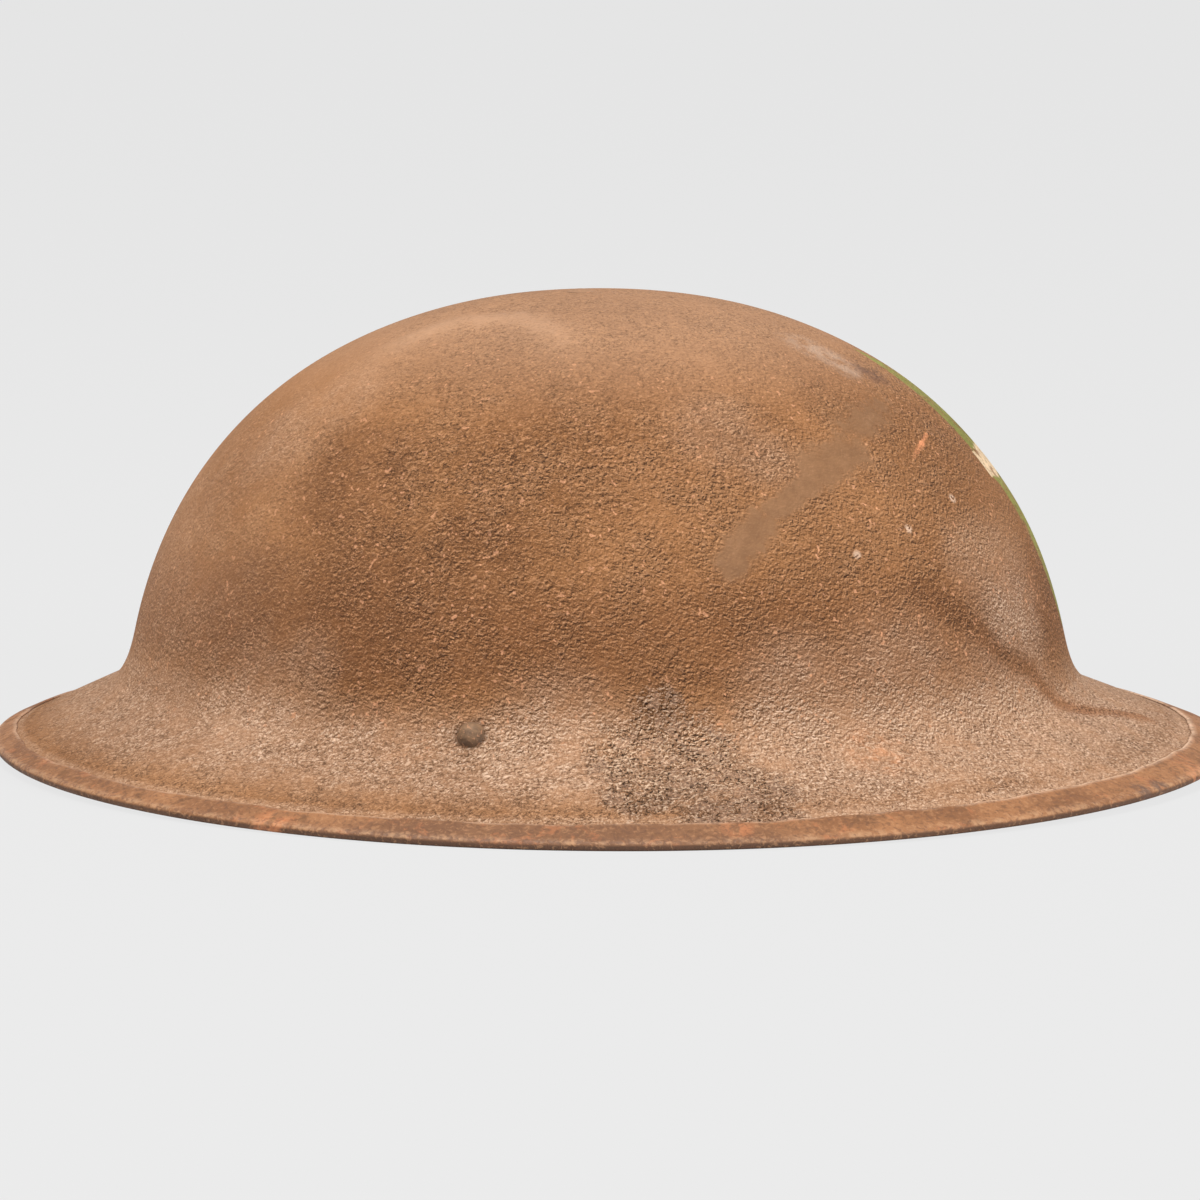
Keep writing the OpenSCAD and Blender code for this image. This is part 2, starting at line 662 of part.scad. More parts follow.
module strap_from_right(shift, run_end, tip) {
  tip_path = tip == 0 ? [] : [for (k = [1:bend_steps])
    let (p = bend_point(90 - tip * k / bend_steps, shift)) [p[0], -p[1], p[2]]];
  run_x = strap_run_x - shift;
  path = concat(lead_path(shift), bend_path(shift, 90),
    [[run_x, run_end, strap_height]], tip_path);
  across = concat(lead_across(), upright(bend_steps + 1 + len(tip_path)));
  strip_solid(path, across, strap_width, strap_t);
  strap_end();
}

// The two straps lie on each other along the run, the long one outside
layer_shift = (strap_t + strap_layer_gap) / 2;
strap_end_inset = 2;
module chinstrap_long() {
  color([0.34, 0.2, 0.11]) strap_from_right(layer_shift, strap_run_half, strap_tip_angle);
}

module chinstrap_short() {
  color([0.34, 0.2, 0.11]) mirror([0, 1, 0])
    strap_from_right(-layer_shift, strap_run_half - strap_end_inset, 0);
}

module strap_rivet() {
  color([0.6, 0.48, 0.28]) at_bail()
  translate([0, tab_rivet_reach, -bail_drop + strap_t + seat / 3])
    rivet(tab_rivet_d, 2 * strap_t + 2 * seat / 3, tab_rivet_d * 1.8, 0.9,
      tab_rivet_d * 1.5, 0.6);
}

// Sliding buckle: two waved rails joined by three bars, with the straps between the bars
stack_t = 2 * strap_t + strap_layer_gap;
bar_offset = stack_t / 2 + seat + buckle_bar_d / 2;
rail_t = 2;
rail_gap = 0.4;
rail_steps = 16;
function rail_point(y) = [bar_offset * cos(180 * y), y * buckle_pitch];
function rail_side(side) = [for (k = [0:rail_steps])
  let (y = mix(-1, 1, k / rail_steps))
  let (along = unit(rail_point(y + eps) - rail_point(y - eps)))
  rail_point(y) + side * buckle_bar_d / 2 * [along[1], -along[0]]];
module buckle_rail() {
  linear_extrude(rail_t) {
    polygon(concat(rail_side(1), reversed(rail_side(-1))));
    for (y = [-1, 1]) translate(rail_point(y)) circle(d = buckle_bar_d);
  }
}

module strap_buckle() {
  low = strap_height - strap_width / 2 - rail_gap - rail_t;
  high = strap_height + strap_width / 2 + rail_gap;
  color([0.5, 0.4, 0.22]) translate([strap_run_x, buckle_place, 0]) {
    for (z = [low, high]) translate([0, 0, z]) buckle_rail();
    for (k = [-1, 0, 1])
      translate([(k == 0 ? 1 : -1) * bar_offset, k * buckle_pitch, low + eps])
        cylinder(d = buckle_bar_d, h = high - low + rail_t - 2 * eps);
  }
}

module rounded(size, r) {
  hull() for (x = [-1, 1]) for (y = [-1, 1])
    translate([x * (size[0] / 2 - r), y * (size[1] / 2 - r)]) circle(r = r);
}

module strap_keeper() {
  inner = [stack_t + 2 * seat, strap_width + 2 * seat];
  color([0.36, 0.21, 0.12])
  translate([strap_run_x, keeper_place, strap_height]) rotate([90, 0, 0])
  linear_extrude(keeper_length, center = true) difference() {
    rounded(inner + 2 * [keeper_t, keeper_t], keeper_t);
    rounded(inner, seat);
  }
}

module left() {
  mirror([0, 1, 0]) children();
}

shell();
rim_binding();
crown_rivet();
crown_washer();
crown_pad();
cradle_band_long();
cradle_band_cross();
buffer_band();
for (i = [1:buffer_count])
  rubber_buffer(i);
headband();
net_cap();
net_drawcord();
color([0.42, 0.36, 0.28]) at_lug() bail_lug();  // bail_lug_right
left() color([0.42, 0.36, 0.28]) at_lug() bail_lug();  // bail_lug_left
color([0.4, 0.28, 0.18]) at_lug() lug_rivet();  // lug_rivet_right
left() color([0.4, 0.28, 0.18]) at_lug() lug_rivet();  // lug_rivet_left
color([0.4, 0.38, 0.34]) at_bail() bail();  // bail_right
left() color([0.4, 0.38, 0.34]) at_bail() bail();  // bail_left
chinstrap_long();
chinstrap_short();
strap_rivet();  // strap_rivet_right
left() strap_rivet();  // strap_rivet_left
strap_buckle();
strap_keeper();
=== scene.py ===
"""A pressed steel helmet with a wide bound rim, its lining, head net and chin strap."""

import math

import bmesh
import bpy
import numpy as np
from mathutils import Matrix, Vector


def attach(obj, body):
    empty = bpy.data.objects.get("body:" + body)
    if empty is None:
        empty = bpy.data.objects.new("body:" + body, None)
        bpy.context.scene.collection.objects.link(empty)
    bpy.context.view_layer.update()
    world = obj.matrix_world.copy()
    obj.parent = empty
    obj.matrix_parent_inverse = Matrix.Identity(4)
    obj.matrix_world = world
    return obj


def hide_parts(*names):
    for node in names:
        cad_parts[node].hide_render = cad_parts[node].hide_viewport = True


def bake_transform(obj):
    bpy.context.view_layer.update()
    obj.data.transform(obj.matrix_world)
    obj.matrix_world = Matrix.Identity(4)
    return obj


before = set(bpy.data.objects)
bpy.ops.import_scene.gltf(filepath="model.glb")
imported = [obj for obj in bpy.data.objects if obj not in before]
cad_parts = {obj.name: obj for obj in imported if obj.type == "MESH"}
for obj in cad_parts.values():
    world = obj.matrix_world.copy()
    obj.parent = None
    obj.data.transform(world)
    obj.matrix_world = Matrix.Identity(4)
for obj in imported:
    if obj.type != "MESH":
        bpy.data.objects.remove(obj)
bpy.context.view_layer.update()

MM = 0.001

# Camera, fitted to the outline of the helmet in the photograph
VIEW_DISTANCE = 1.6
VIEW_RISE = 8.173
VIEW_TURN = 3.855
VIEW_ROLL = 0.226
VIEW_TARGET = Vector((-0.002856, 0.0, 0.037765))
VIEW_LENS = 190.44

# Steel shell, in millimetres as in the solids
RIM_LENGTH = 311.0
RIM_WIDTH = 290.0
DOME_HALVES = (119.85, 109.85)
CROWN = 115.7
SQUARENESS = 2.235
SETBACK = 3.0
SHEET = 1.0
FLARE_RUN = 7.85
FLARE_FOOT = 14.7
FLARE_START = 13.0
FLARE_HANDLES = (0.45, 0.4)
BINDING_SHEET = 0.6
BINDING_PLAY = 0.1
BINDING_WIDTHS = (5.0, 9.0)
BINDING_JOINT = 0.8
BEAD_REACH = 0.2
FOLD_R = SHEET / 2 + BINDING_PLAY
BEAD_R = FOLD_R + BINDING_SHEET
END_EDGE = (RIM_LENGTH / 2 - BEAD_R, 3.7)
SIDE_EDGE = (RIM_WIDTH / 2 - BEAD_R, 1.7)
LUG_SETBACK = 26.0
LUG_DOWN = 1.5
LUG_HEAD = 6.6

# Lining
SEAT = 0.3
INSIDE = CROWN - SHEET
OILCLOTH = 1.2
CRADLE_WIDTH = 22.0
CRADLE_PLAY = 1.0
CRADLE_LEAVES = 60.0
CRADLE_DIP = CROWN * (CRADLE_WIDTH / 2 / DOME_HALVES[1]) ** SQUARENESS / SQUARENESS
CROSS_PLAY = CRADLE_PLAY + OILCLOTH + CRADLE_DIP + SEAT
PAD_TOP = INSIDE - CROSS_PLAY - OILCLOTH - SEAT
PAD_THICK = 4.0
PAD_R = 36.0
PAD_HOLE = 2.6
PAD_EDGE = 1.7
PAD_SETBACK = 8.0
PAD_CURVE = 130.0
BUFFER_D = 12.5
BUFFER_BORE = 6.0
BUFFER_LENGTH = 22.0
BUFFER_Z = 38.0
BUFFER_COUNT = 12
LOOP_WIDTH = 11.0
LOOP_CLOTH = 0.5
LOOP_PLAY = 0.06
HEADBAND = 2.0
HEADBAND_Z = (15.0, 46.0)
NET_COLUMNS = 20
NET_ROWS = 7
NET_CORD = 2.0
NET_RING = 16.0
NET_DROP = 8.1
DRAWCORD = 1.8

# Bails and chin strap
KNUCKLE_DROP = 6.6
BAIL_DROP = 7.6
BAIL_WIRE = 2.4
LUG_WIDTH = 12.0
LUG_SHEET = 1.0
LUG_PLAY = 0.1
KNUCKLE_DEPTH = 0.8
WIRE_PLAY = 0.6
STRAP_WIDTH = 12.0
STRAP = 1.8
STRAP_GAP = 0.3
STRAP_Z = 9.6
STRAP_STANDOFF = 8.243
STRAP_RUN = 24.0
STRAP_BEND = 80.0
STRAP_TAB = 13.0
STRAP_TIP = 28.0
STRAP_LEAD = 35.0
KEEPER_Y = 17.0
KEEPER_LENGTH = 6.0
KEEPER = 1.4


# Shape of the steel


def unit(v):
    v = np.asarray(v, float)
    return v / np.linalg.norm(v, axis=-1, keepdims=True)


def ease(t):
    t = np.clip(t, 0, 1)
    return t * t * (3 - 2 * t)


def fade(value, near, far):
    """1 below near, 0 above far, smooth between."""
    return 1 - ease((value - near) / (far - near))


def bezier(p, t):
    t = np.asarray(t, float)[..., None]
    p = [np.asarray(q, float) for q in p]
    return ((1 - t) ** 3 * p[0] + 3 * t * (1 - t) ** 2 * p[1]
            + 3 * t * t * (1 - t) * p[2] + t ** 3 * p[3])


def superellipse(half, height, climb):
    climb = np.radians(climb)
    power = 2 / SQUARENESS
    return np.stack([half * np.clip(np.cos(climb), 0, 1) ** power,
                     height * np.clip(np.sin(climb), 0, 1) ** power], -1)


def section(half, edge, s):
    """Outer face in a vertical plane: dome for s to 1, flare to 2, straight brim to 3."""
    s = np.asarray(s, float)
    top = superellipse(half, CROWN, FLARE_START)
    foot = np.array([half + FLARE_RUN, FLARE_FOOT])
    edge = np.asarray(edge, float)
    chord = np.linalg.norm(foot - top)
    down = unit(top - superellipse(half, CROWN, FLARE_START + 1))
    out = unit(edge - foot)
    flare = bezier([top, top + down * chord * FLARE_HANDLES[0],
                    foot - out * chord * FLARE_HANDLES[1], foot], np.clip(s - 1, 0, 1))
    dome = superellipse(half, CROWN, 90 + (FLARE_START - 90) * np.clip(s, 0, 1))
    brim = foot + (edge - foot) * np.clip(s - 2, 0, 1)[..., None]
    return np.where(s[..., None] < 1, dome, np.where(s[..., None] < 2, flare, brim))


def section_normal(half, edge, s):
    along = section(half, edge, np.minimum(3, s + 0.01)) - section(half, edge, np.maximum(0, s - 0.01))
    return unit(np.stack([-along[..., 1], along[..., 0]], -1))


def steel(s, angle, depth=0.0):
    """Points of the sheet at s down the section and at an angle round it, below the outer face."""
    s, angle = np.broadcast_arrays(np.asarray(s, float), np.radians(np.asarray(angle, float)))
    ends = section(DOME_HALVES[0], END_EDGE, s) - depth * section_normal(DOME_HALVES[0], END_EDGE, s)
    sides = section(DOME_HALVES[1], SIDE_EDGE, s) - depth * section_normal(DOME_HALVES[1], SIDE_EDGE, s)
    reach = section(DOME_HALVES[0], END_EDGE, s)[..., 0] - DOME_HALVES[0]
    out = np.clip(reach / (END_EDGE[0] - DOME_HALVES[0]), 0, 1)
    c, n = np.cos(angle), np.sin(angle)
    return np.stack([ends[..., 0] * c - SETBACK * (1 - out), sides[..., 0] * n,
                     ends[..., 1] * c * c + sides[..., 1] * n * n], -1)


def lug_place():
    """Where the right lug's rivet sits: down the section and round the sheet."""
    spread = section(DOME_HALVES[0], END_EDGE, np.array(LUG_DOWN))[0]
    return LUG_DOWN, -math.degrees(math.acos((SETBACK - LUG_SETBACK) / spread))


# Lines of the knocked crest on the right shoulder, of the fold at the front of the flare,
# and of the stain that follows the fold out over the brim
CREST = ((-66, -42, 94), (-52, -31, 103.5), (-37, -26.5, 109.3), (-22, -30, 111.2), (-11, -42, 108.8),
         (-3, -56, 103.2), (3, -68, 96))
FOLD = ((84, -68, 47), (96, -56, 36), (108, -42, 24), (118, -27, 17))
STAIN = ((79, -69, 51.5), (87, -63, 44.7), (93, -57, 40.2), (99, -52, 33.3), (106, -41, 28), (113, -34, 18.9),
         (119, -26, 16.2), (128, -15, 13.3), (134, -9, 11.2))

# Strokes of the wiped streak, each with its reach
STREAK = (((35, -91, 60), (41, -83, 68.5), 9.5), ((44, -80, 71), (52, -70, 77), 6.5),
          ((54, -66, 79.5), (61, -57, 84), 12.5), ((62, -51, 87), (68, -34, 92.5), 11.5))

# Places and radii of the flaked, stained and dusty spots; the dusty ones are grouped by strength
FLAKED_SPOTS = (((18, -106, 28), 4), ((17, -109, 23), 5), ((9, -114, 17), 7), ((15, -125, 10), 7),
                ((27, -112, 16), 10), ((36, -133, 5), 8), ((43, -120, 10), 7), ((48, -128, 6), 5))
STAINED_SPOTS = (((-58, -72, 76), 14), ((-56, -90, 50), 17), ((-83, -73, 47), 13), ((-27, -95, 61), 10))
DUSTY_SPOTS = ((0.5, (((-5, -112, 19), 13), ((51, -96, 28), 12), ((75, -82, 26), 16), ((99, -63, 18), 16),
                      ((103, -45, 33), 12))),
               (0.4, (((99, -40, 50), 13), ((91, -50, 56), 8))),
               (0.3, (((-76, -45, 84.7), 11), ((-62, -46, 93), 9), ((-80, -85, 25), 11), ((-66, -88, 33), 7),
                      ((30, -70, 89), 9), ((41, -71, 83), 7))))


def off_line(points, line):
    """Distance of each point from a broken line."""
    best = np.full(points.shape[:-1], 1e9)
    for a, b in zip(line[:-1], line[1:]):
        a, b = np.array(a, float), np.array(b, float)
        t = np.clip(((points - a) @ (b - a)) / ((b - a) @ (b - a)), 0, 1)
        best = np.minimum(best, np.linalg.norm(points - a - t[..., None] * (b - a), axis=-1))
    return best


def knocks(p):
    """How far the sheet is bent out of its pressed shape at each point, outwards."""
    x, y, z = p[..., 0], p[..., 1], p[..., 2]
    waves = (0.16 * np.sin(x * 0.047 + 1.1) * np.sin(y * 0.053 + 0.4)
             + 0.1 * np.sin(x * 0.11 - z * 0.09 + 2.0) * np.cos(y * 0.097))
    ridge = fade(np.linalg.norm(p - (-28, -33, 110), axis=-1), 12, 44)
    crest = 0.75 * ridge * np.exp(-(off_line(p, CREST) / 5.2) ** 2)
    hollow = fade(np.linalg.norm((p - (-32, -58, 98)) / (1, 1, 0.8), axis=-1), 4, 28)
    fold = 0.6 * np.exp(-(off_line(p, FOLD) / 5.5) ** 2)
    return (waves + crest - hollow - fold) * ease((z - 6) / 8)


def bent_steel(s, angle, depth=0.0):
    """The sheet with its knocks, moved along the surface's own normal."""
    p = steel(s, angle, depth)
    across = unit(steel(s, angle + 0.4) - steel(s, angle - 0.4))
    down = unit(steel(np.minimum(3, s + 0.01), angle) - steel(np.maximum(0.002, s - 0.01), angle))
    out = unit(np.cross(down, across))
    return p + out * knocks(steel(s, angle))[..., None]


# Meshes


def lengths(path):
    """Distance along a path at each of its points."""
    return np.concatenate([[0], np.cumsum(np.linalg.norm(np.diff(path, axis=0), axis=1))])


def add_object(name, data):
    """Put a mesh, a lamp or a camera into the scene."""
    obj = bpy.data.objects.new(name, data)
    bpy.context.scene.collection.objects.link(obj)
    return obj


def piece(name, points, faces, *materials, sharp=None):
    """Mesh object from points in millimetres."""
    mesh = bpy.data.meshes.new(name)
    mesh.from_pydata((np.asarray(points, float).reshape(-1, 3) * MM).tolist(), [], faces)
    for material in materials:
        mesh.materials.append(material)
    solid = bmesh.new()
    solid.from_mesh(mesh)
    bmesh.ops.recalc_face_normals(solid, faces=solid.faces)
    solid.to_mesh(mesh)
    solid.free()
    mesh.shade_smooth()
    if sharp:
        mesh.set_sharp_from_angle(angle=math.radians(sharp))
    return add_object(name, mesh)


def attribute(obj, name, values):
    layer = obj.data.attributes.new(name, "FLOAT", "POINT")
    layer.data.foreach_set("value", np.asarray(values, np.float32).ravel())


def rings_solid(rings, closed=False):
    """Points and outward faces of a solid through rings; the rings go round against the clock."""
    rings = np.asarray(rings, float)
    count, n = rings.shape[:2]
    faces = []
    for i in range(count if closed else count - 1):
        here, there = i * n, (i + 1) % count * n
        faces += [(here + j, here + (j + 1) % n, there + (j + 1) % n, there + j) for j in range(n)]
    if not closed:
        faces.append(tuple(range(n - 1, -1, -1)))
        faces.append(tuple((count - 1) * n + j for j in range(n)))
    return rings.reshape(-1, 3), faces


def rounded_bar(width, thickness, radius, steps=4):
    """Section of a strip with rounded edges, against the clock."""
    outline = []
    for cx, cy, start in ((1, 1, 0), (-1, 1, 90), (-1, -1, 180), (1, -1, 270)):
        for k in range(steps + 1):
            a = math.radians(start + 90 * k / steps)
            outline.append((cx * (width / 2 - radius) + radius * math.cos(a),
                            cy * (thickness / 2 - radius) + radius * math.sin(a)))
    return np.array(outline)


def strip(path, across, outline, widths=None):
    """Rings of an outline carried along a path; the outline's first axis lies along across."""
    along = unit(np.gradient(path, axis=0))
    side = unit(across - along * np.sum(across * along, -1, keepdims=True))
    face = np.cross(side, along)
    widths = np.ones(len(path)) if widths is None else widths
    return np.array([p + outline[:, :1] * s * w - outline[:, 1:] * f
                     for p, s, w, f in zip(path, side, widths, face)])


# Node sheets


def arithmetic(operation, turned=False):
    """A method that joins a value and another by a math node, in this order or turned round."""
    def join_values(self, other):
        return self.sheet.math(operation, *((other, self) if turned else (self, other)))
    return join_values


class Tone:
    """A value in a node tree. Sums and products of values add their nodes."""

    def __init__(self, sheet, socket):
        self.sheet, self.socket = sheet, socket

    __add__, __radd__ = arithmetic("ADD"), arithmetic("ADD", True)
    __sub__, __rsub__ = arithmetic("SUBTRACT"), arithmetic("SUBTRACT", True)
    __mul__, __rmul__ = arithmetic("MULTIPLY"), arithmetic("MULTIPLY", True)


class Nodes:
    """A node tree that is filled by one method."""

    def __init__(self, tree):
        self.tree = tree

    def node(self, kind, inputs=None, output=0, **settings):
        made = self.tree.nodes.new(kind)
        for name, value in settings.items():
            setattr(made, name, value)
        for key, value in (inputs or {}).items():
            if isinstance(value, Tone):
                self.tree.links.new(value.socket, made.inputs[key])
            else:
                made.inputs[key].default_value = value
        return Tone(self, made.outputs[output]) if len(made.outputs) else None

    def math(self, operation, a, b=0.5):
        return self.node("ShaderNodeMath", {0: a, 1: b}, operation=operation)


def colour(r, g, b):
    """A colour as it is seen, 0 to 255, as the linear one that a shader takes."""
    def linear(c):
        c = c / 255
        return c / 12.92 if c <= 0.04045 else ((c + 0.055) / 1.055) ** 2.4
    return (linear(r), linear(g), linear(b), 1.0)


class Finish(Nodes):
    """A material: its patterns lie in the object's own coordinates, and base is its colour so far.

    Colours are given as they are seen, 0 to 255."""

    def __init__(self, name):
        self.material = bpy.data.materials.new(name)
        self.material.use_nodes = True
        super().__init__(self.material.node_tree)
        self.tree.nodes.clear()
        self.base = None
        self.place = self.node("ShaderNodeTexCoord", output="Object")
        self.x, self.y, self.z = (self.node("ShaderNodeSeparateXYZ", {0: self.place}, axis) for axis in "XYZ")

    def noise(self, size, detail=2.0, rough=0.5, distort=0.0, at=None):
        """Noise whose blobs are about size millimetres across."""
        return self.node("ShaderNodeTexNoise", {
            "Vector": at or self.place, "Scale": 1000.0 / size, "Detail": detail,
            "Roughness": rough, "Distortion": distort}, "Fac")

    def cells(self, size, feature):
        return self.node("ShaderNodeTexVoronoi", {
            "Vector": self.place, "Scale": 1000.0 / size}, "Distance", feature=feature)

    def rise(self, value, low, high, to_low=0.0, to_high=1.0):
        """Smooth step of a value between low and high."""
        return self.node("ShaderNodeMapRange", {
            "Value": value, "From Min": low, "From Max": high, "To Min": to_low, "To Max": to_high},
            interpolation_type="SMOOTHSTEP")

    def mix(self, share, a, b):
        tints = (tint if isinstance(tint, Tone) else colour(*tint) for tint in (a, b))
        return self.node("ShaderNodeMix", dict(zip((0, 6, 7), (share, *tints))), 2, data_type="RGBA")

    def lay(self, share, tint):
        """Lay a tint over the colour so far."""
        self.base = self.mix(share, self.base, tint)

    def vector(self, operation, a, b, output="Value"):
        return self.node("ShaderNodeVectorMath", {0: a, 1: b}, output, operation=operation)

    def near(self, point, radius, soft):
        """1 within radius of a point, given in millimetres, fading over soft."""
        distance = self.vector("DISTANCE", self.place, tuple(c * MM for c in point))
        return self.rise(distance, (radius + soft) * MM, radius * MM)

    def stroke(self, start, end, radius, soft):
        """1 within radius of a straight stroke between two points in millimetres."""
        start, end = np.array(start) * MM, np.array(end) * MM
        span = end - start
        from_start = self.vector("SUBTRACT", self.place, tuple(start), "Vector")
        run = self.vector("DOT_PRODUCT", from_start, tuple(span / (span @ span)))
        share = self.node("ShaderNodeClamp", {"Value": run})
        foot = self.node("ShaderNodeVectorMath", {0: tuple(span), "Scale": share}, "Vector",
                         operation="SCALE")
        distance = self.vector("DISTANCE", from_start, foot)
        return self.rise(distance, (radius + soft) * MM, radius * MM)

    def layer(self, name):
        return self.node("ShaderNodeAttribute", output="Fac", attribute_name=name)

    def surface(self, rough, height, metallic=0.0, specular=0.5, sheen=0.0):
        """Principled surface in the colour so far; height is in millimetres."""
        normal = self.node("ShaderNodeBump", {"Strength": 1.0, "Distance": MM, "Height": height}, "Normal")
        shader = self.node("ShaderNodeBsdfPrincipled", {
            "Base Color": self.base, "Roughness": rough, "Metallic": metallic, "Specular IOR Level": specular,
            "Sheen Weight": sheen, "Sheen Roughness": 0.6, "Normal": normal}, "BSDF")
        self.node("ShaderNodeOutputMaterial", {"Surface": shader})
        return self.material


# Finishes


def sand_paint():
    """Old brown paint with sand in it: dusty, worn smooth in places, flaked and rust-flecked, with painted
    shade and painted highlight on its grains, a painted highlight on the top of the dome and along the crest,
    and a band of painted shade low on the dome.
    """
    f = Finish("sand_paint")
    rise, noise = f.rise, f.noise
    rubbed_and_crest_highlight, flaked, dusty, calm, stained = (
        f.layer(name) for name in ("rubbed_and_crest_highlight", "flaked", "dusty", "calm", "stained"))
    lying = f.node("ShaderNodeMapping", {"Vector": f.place, "Scale": (1.0, 1.0, 1.25)}, "Vector")
    above = f.vector("ADD", lying, (-0.17 * MM, 0.0, 0.34 * MM), "Vector")
    breadth = noise(38, 3.0, 0.55)
    cloud = noise(13, 3.0, 0.6)
    patchy = noise(4.2, 3.0, 0.6)
    fine = noise(0.6, 1.0)
    crumple, crumple_above = (noise(0.92, 3.0, 0.65, 0.5, at) for at in (lying, above))
    coarse, coarse_above = (noise(2.6, 2.0, 0.6, 1.0, at) for at in (lying, above))
    grain = 0.6 * crumple + 0.4 * coarse - 0.5
    ledge = 0.75 * (crumple - crumple_above) + 0.25 * (coarse - coarse_above)
    smooth = rise(rubbed_and_crest_highlight + (patchy - 0.5) + 0.7 * (cloud - 0.5) + 0.4 * (coarse - 0.5), 0.2, 0.8)
    flake = rise(flaked + 1.1 * (patchy - 0.5) + 0.8 * (cloud - 0.5), 0.15, 1.0)
    sandy = (1 - 0.9 * smooth) * (1 - 0.7 * calm) * rise(cloud + 0.5 * patchy, 0.5, 0.95, 0.55, 1.15)

    f.base = f.mix(rise(breadth, 0.3, 0.7), (130, 86, 50), (152, 105, 66))
    f.lay(0.35 * rise(cloud, 0.42, 0.75), (170, 124, 86))
    # Painted shade: a darker band round the lower wall of the dome
    shaded_belt = rise(f.z, 0.062, 0.045) * rise(f.z, 0.026, 0.036)
    f.lay(0.6 * shaded_belt, (118, 75, 43))
    f.lay(0.62 * stained * rise(cloud + 0.4 * patchy, 0.45, 0.8, 0.6, 1.0),
          f.mix(rise(f.x, 0.102, 0.118), (108, 68, 38), (148, 92, 56)))
    # Painted highlight: paler towards the top of the dome
    f.lay(0.35 * rise(f.z, 0.088, 0.112), (188, 152, 124))
    dust = dusty * rise(patchy + 0.6 * cloud, 0.3, 1.1, 0.35, 1.0)
    f.lay(0.6 * dust, (206, 168, 138))
    f.lay(0.75 * smooth * rise(f.z, 0.102, 0.094),
          f.mix(rise(patchy, 0.35, 0.65), (104, 74, 49), (120, 87, 59)))
    # Painted highlight along the knocked crest, high on the dome
    f.lay(0.24 * rubbed_and_crest_highlight * rise(f.z, 0.094, 0.102), (220, 180, 146))
    chalky = flake * rise(f.z, 0.007, 0.014) * rise(f.z, 0.027, 0.021)
    f.lay(0.45 * flake, f.mix(chalky, (112, 74, 45), (152, 110, 76)))

    # Painted shade in the grains' hollows and on their lower sides, and painted highlight on their peaks and
    # on the sides that face up and back; the highlight is paler and stronger where the paint is dusty or
    # flaked
    low, high = rise(grain, -0.01, -0.12), rise(grain, 0.02, 0.12)
    under, upper_highlight = rise(ledge, -0.02, -0.105), rise(ledge, 0.025, 0.115)
    f.lay(0.3 * sandy * low, (86, 54, 33))
    f.lay((0.1 + 0.3 * dust) * sandy * high, (214, 172, 138))
    f.lay(0.85 * sandy * under, f.mix(dust, (68, 41, 22), (112, 78, 52)))
    light = f.mix(rise(dust + flake, 0.0, 0.7), (208, 152, 106), (232, 198, 170))
    f.lay(sandy * (0.6 + 0.3 * dust) * upper_highlight, light)
    # On the flaked place: darker painted shade on the grains' lower sides, and a paler painted highlight on
    # the sides that face up and back
    f.lay(flake * under, (50, 31, 17))
    f.lay((0.3 * flake + 0.6 * chalky) * upper_highlight, (234, 200, 168))

    # Flecks of orange rust, and crumbs of paint left on the flaked place
    fleck = rise(noise(1.5, 1.0), 0.67, 0.715) * rise(noise(10.0, 1.0), 0.42, 0.52)
    fleck = fleck * rise(f.z, 0.012, 0.022) * rise(f.z, 0.112, 0.104)
    f.lay(0.7 * fleck * (1 - smooth) * (1 - 0.5 * calm), (216, 156, 116))
    scab = rise(noise(5.0, 2.0, 0.6, 1.2), 0.52, 0.545)
    f.lay(0.35 * scab * flake, (196, 156, 128))

    # Grey bloom and a dark smudge high on the front shoulder, a smear of rust over the brim,
    # three small chips, and a fresh orange scratch
    bloom = f.stroke((49, -22, 105.0), (59, -24, 100.2), 1.0, 8.5) * rise(patchy + 0.5 * cloud, 0.55, 0.95)
    f.lay(0.5 * bloom, (200, 172, 150))
    f.lay(0.65 * f.near((65, -18, 97.8), 2, 6) * rise(patchy, 0.35, 0.55), (100, 72, 60))
    f.lay(0.4 * f.near((70, -95, 15.4), 3, 9) * rise(patchy, 0.4, 0.6), (214, 142, 92))
    for chip in ((64, -76, 60.6), (76, -62, 65.2), (86, -43, 70.1)):
        f.lay(0.8 * f.near(chip, 0.5, 1.1) * rise(crumple, 0.4, 0.5), (232, 196, 168))
    scratch = (0.8 * f.stroke((79.4, -30, 84.4), (78.2, -36, 82.6), 0.0, 1.3)
               + 0.8 * f.stroke((78.2, -36, 82.6), (75.9, -43.5, 79.7), 0.0, 1.7))
    f.lay(0.8 * rise(scratch + 0.8 * (fine - 0.5) + 0.8 * (crumple - 0.5), 0.25, 1.0), (230, 152, 106))

    # Painted shade round the lug rivets: a dark ring at the feet of their heads
    for side in (1, -1):
        seat = steel(*lug_place()) * (1, side, 1)
        f.lay(0.55 * f.near(seat, LUG_HEAD / 2, 1.6) * rise(patchy, 0.3, 0.6), (92, 62, 41))

    # Plain upright oval of faded green at the front, with a plain cream band across it
    across = f.y * (1 / 0.0105)
    up = (f.z - 0.067) * (1 / 0.0345)
    band = (rise(f.z + 0.004 * (cloud - 0.5), 0.0708, 0.0716)
            * rise(f.z + 0.004 * (patchy - 0.5), 0.0786, 0.0778))
    spread = 1 - 0.3 * band + 0.5 * rise(f.z, 0.0715, 0.069)
    ragged = 0.14 * (cloud - 0.5) + 0.14 * (crumple - 0.5)
    oval_patch = rise(across * across * spread + up * up + ragged, 1.04, 0.96) * rise(f.x, 0.0, 0.02)
    worn = rise(patchy + 0.25 * crumple, 0.68, 0.76)
    green = f.mix(rise(cloud, 0.35, 0.7), (134, 131, 64), (154, 149, 82))
    green = f.mix(band, green, (232, 202, 164))
    # Painted shade: the green is darker in the grains' hollows
    green = f.mix(0.5 * low, green, (84, 70, 44))
    f.lay(oval_patch * (1 - 0.8 * worn), green)

    height = 2.6 * sandy * (1 + 0.6 * flake) * grain + 0.4 * flake * scab + 0.12 * patchy
    return f.surface(0.9 - 0.2 * smooth - 0.1 * high, height, specular=0.25)


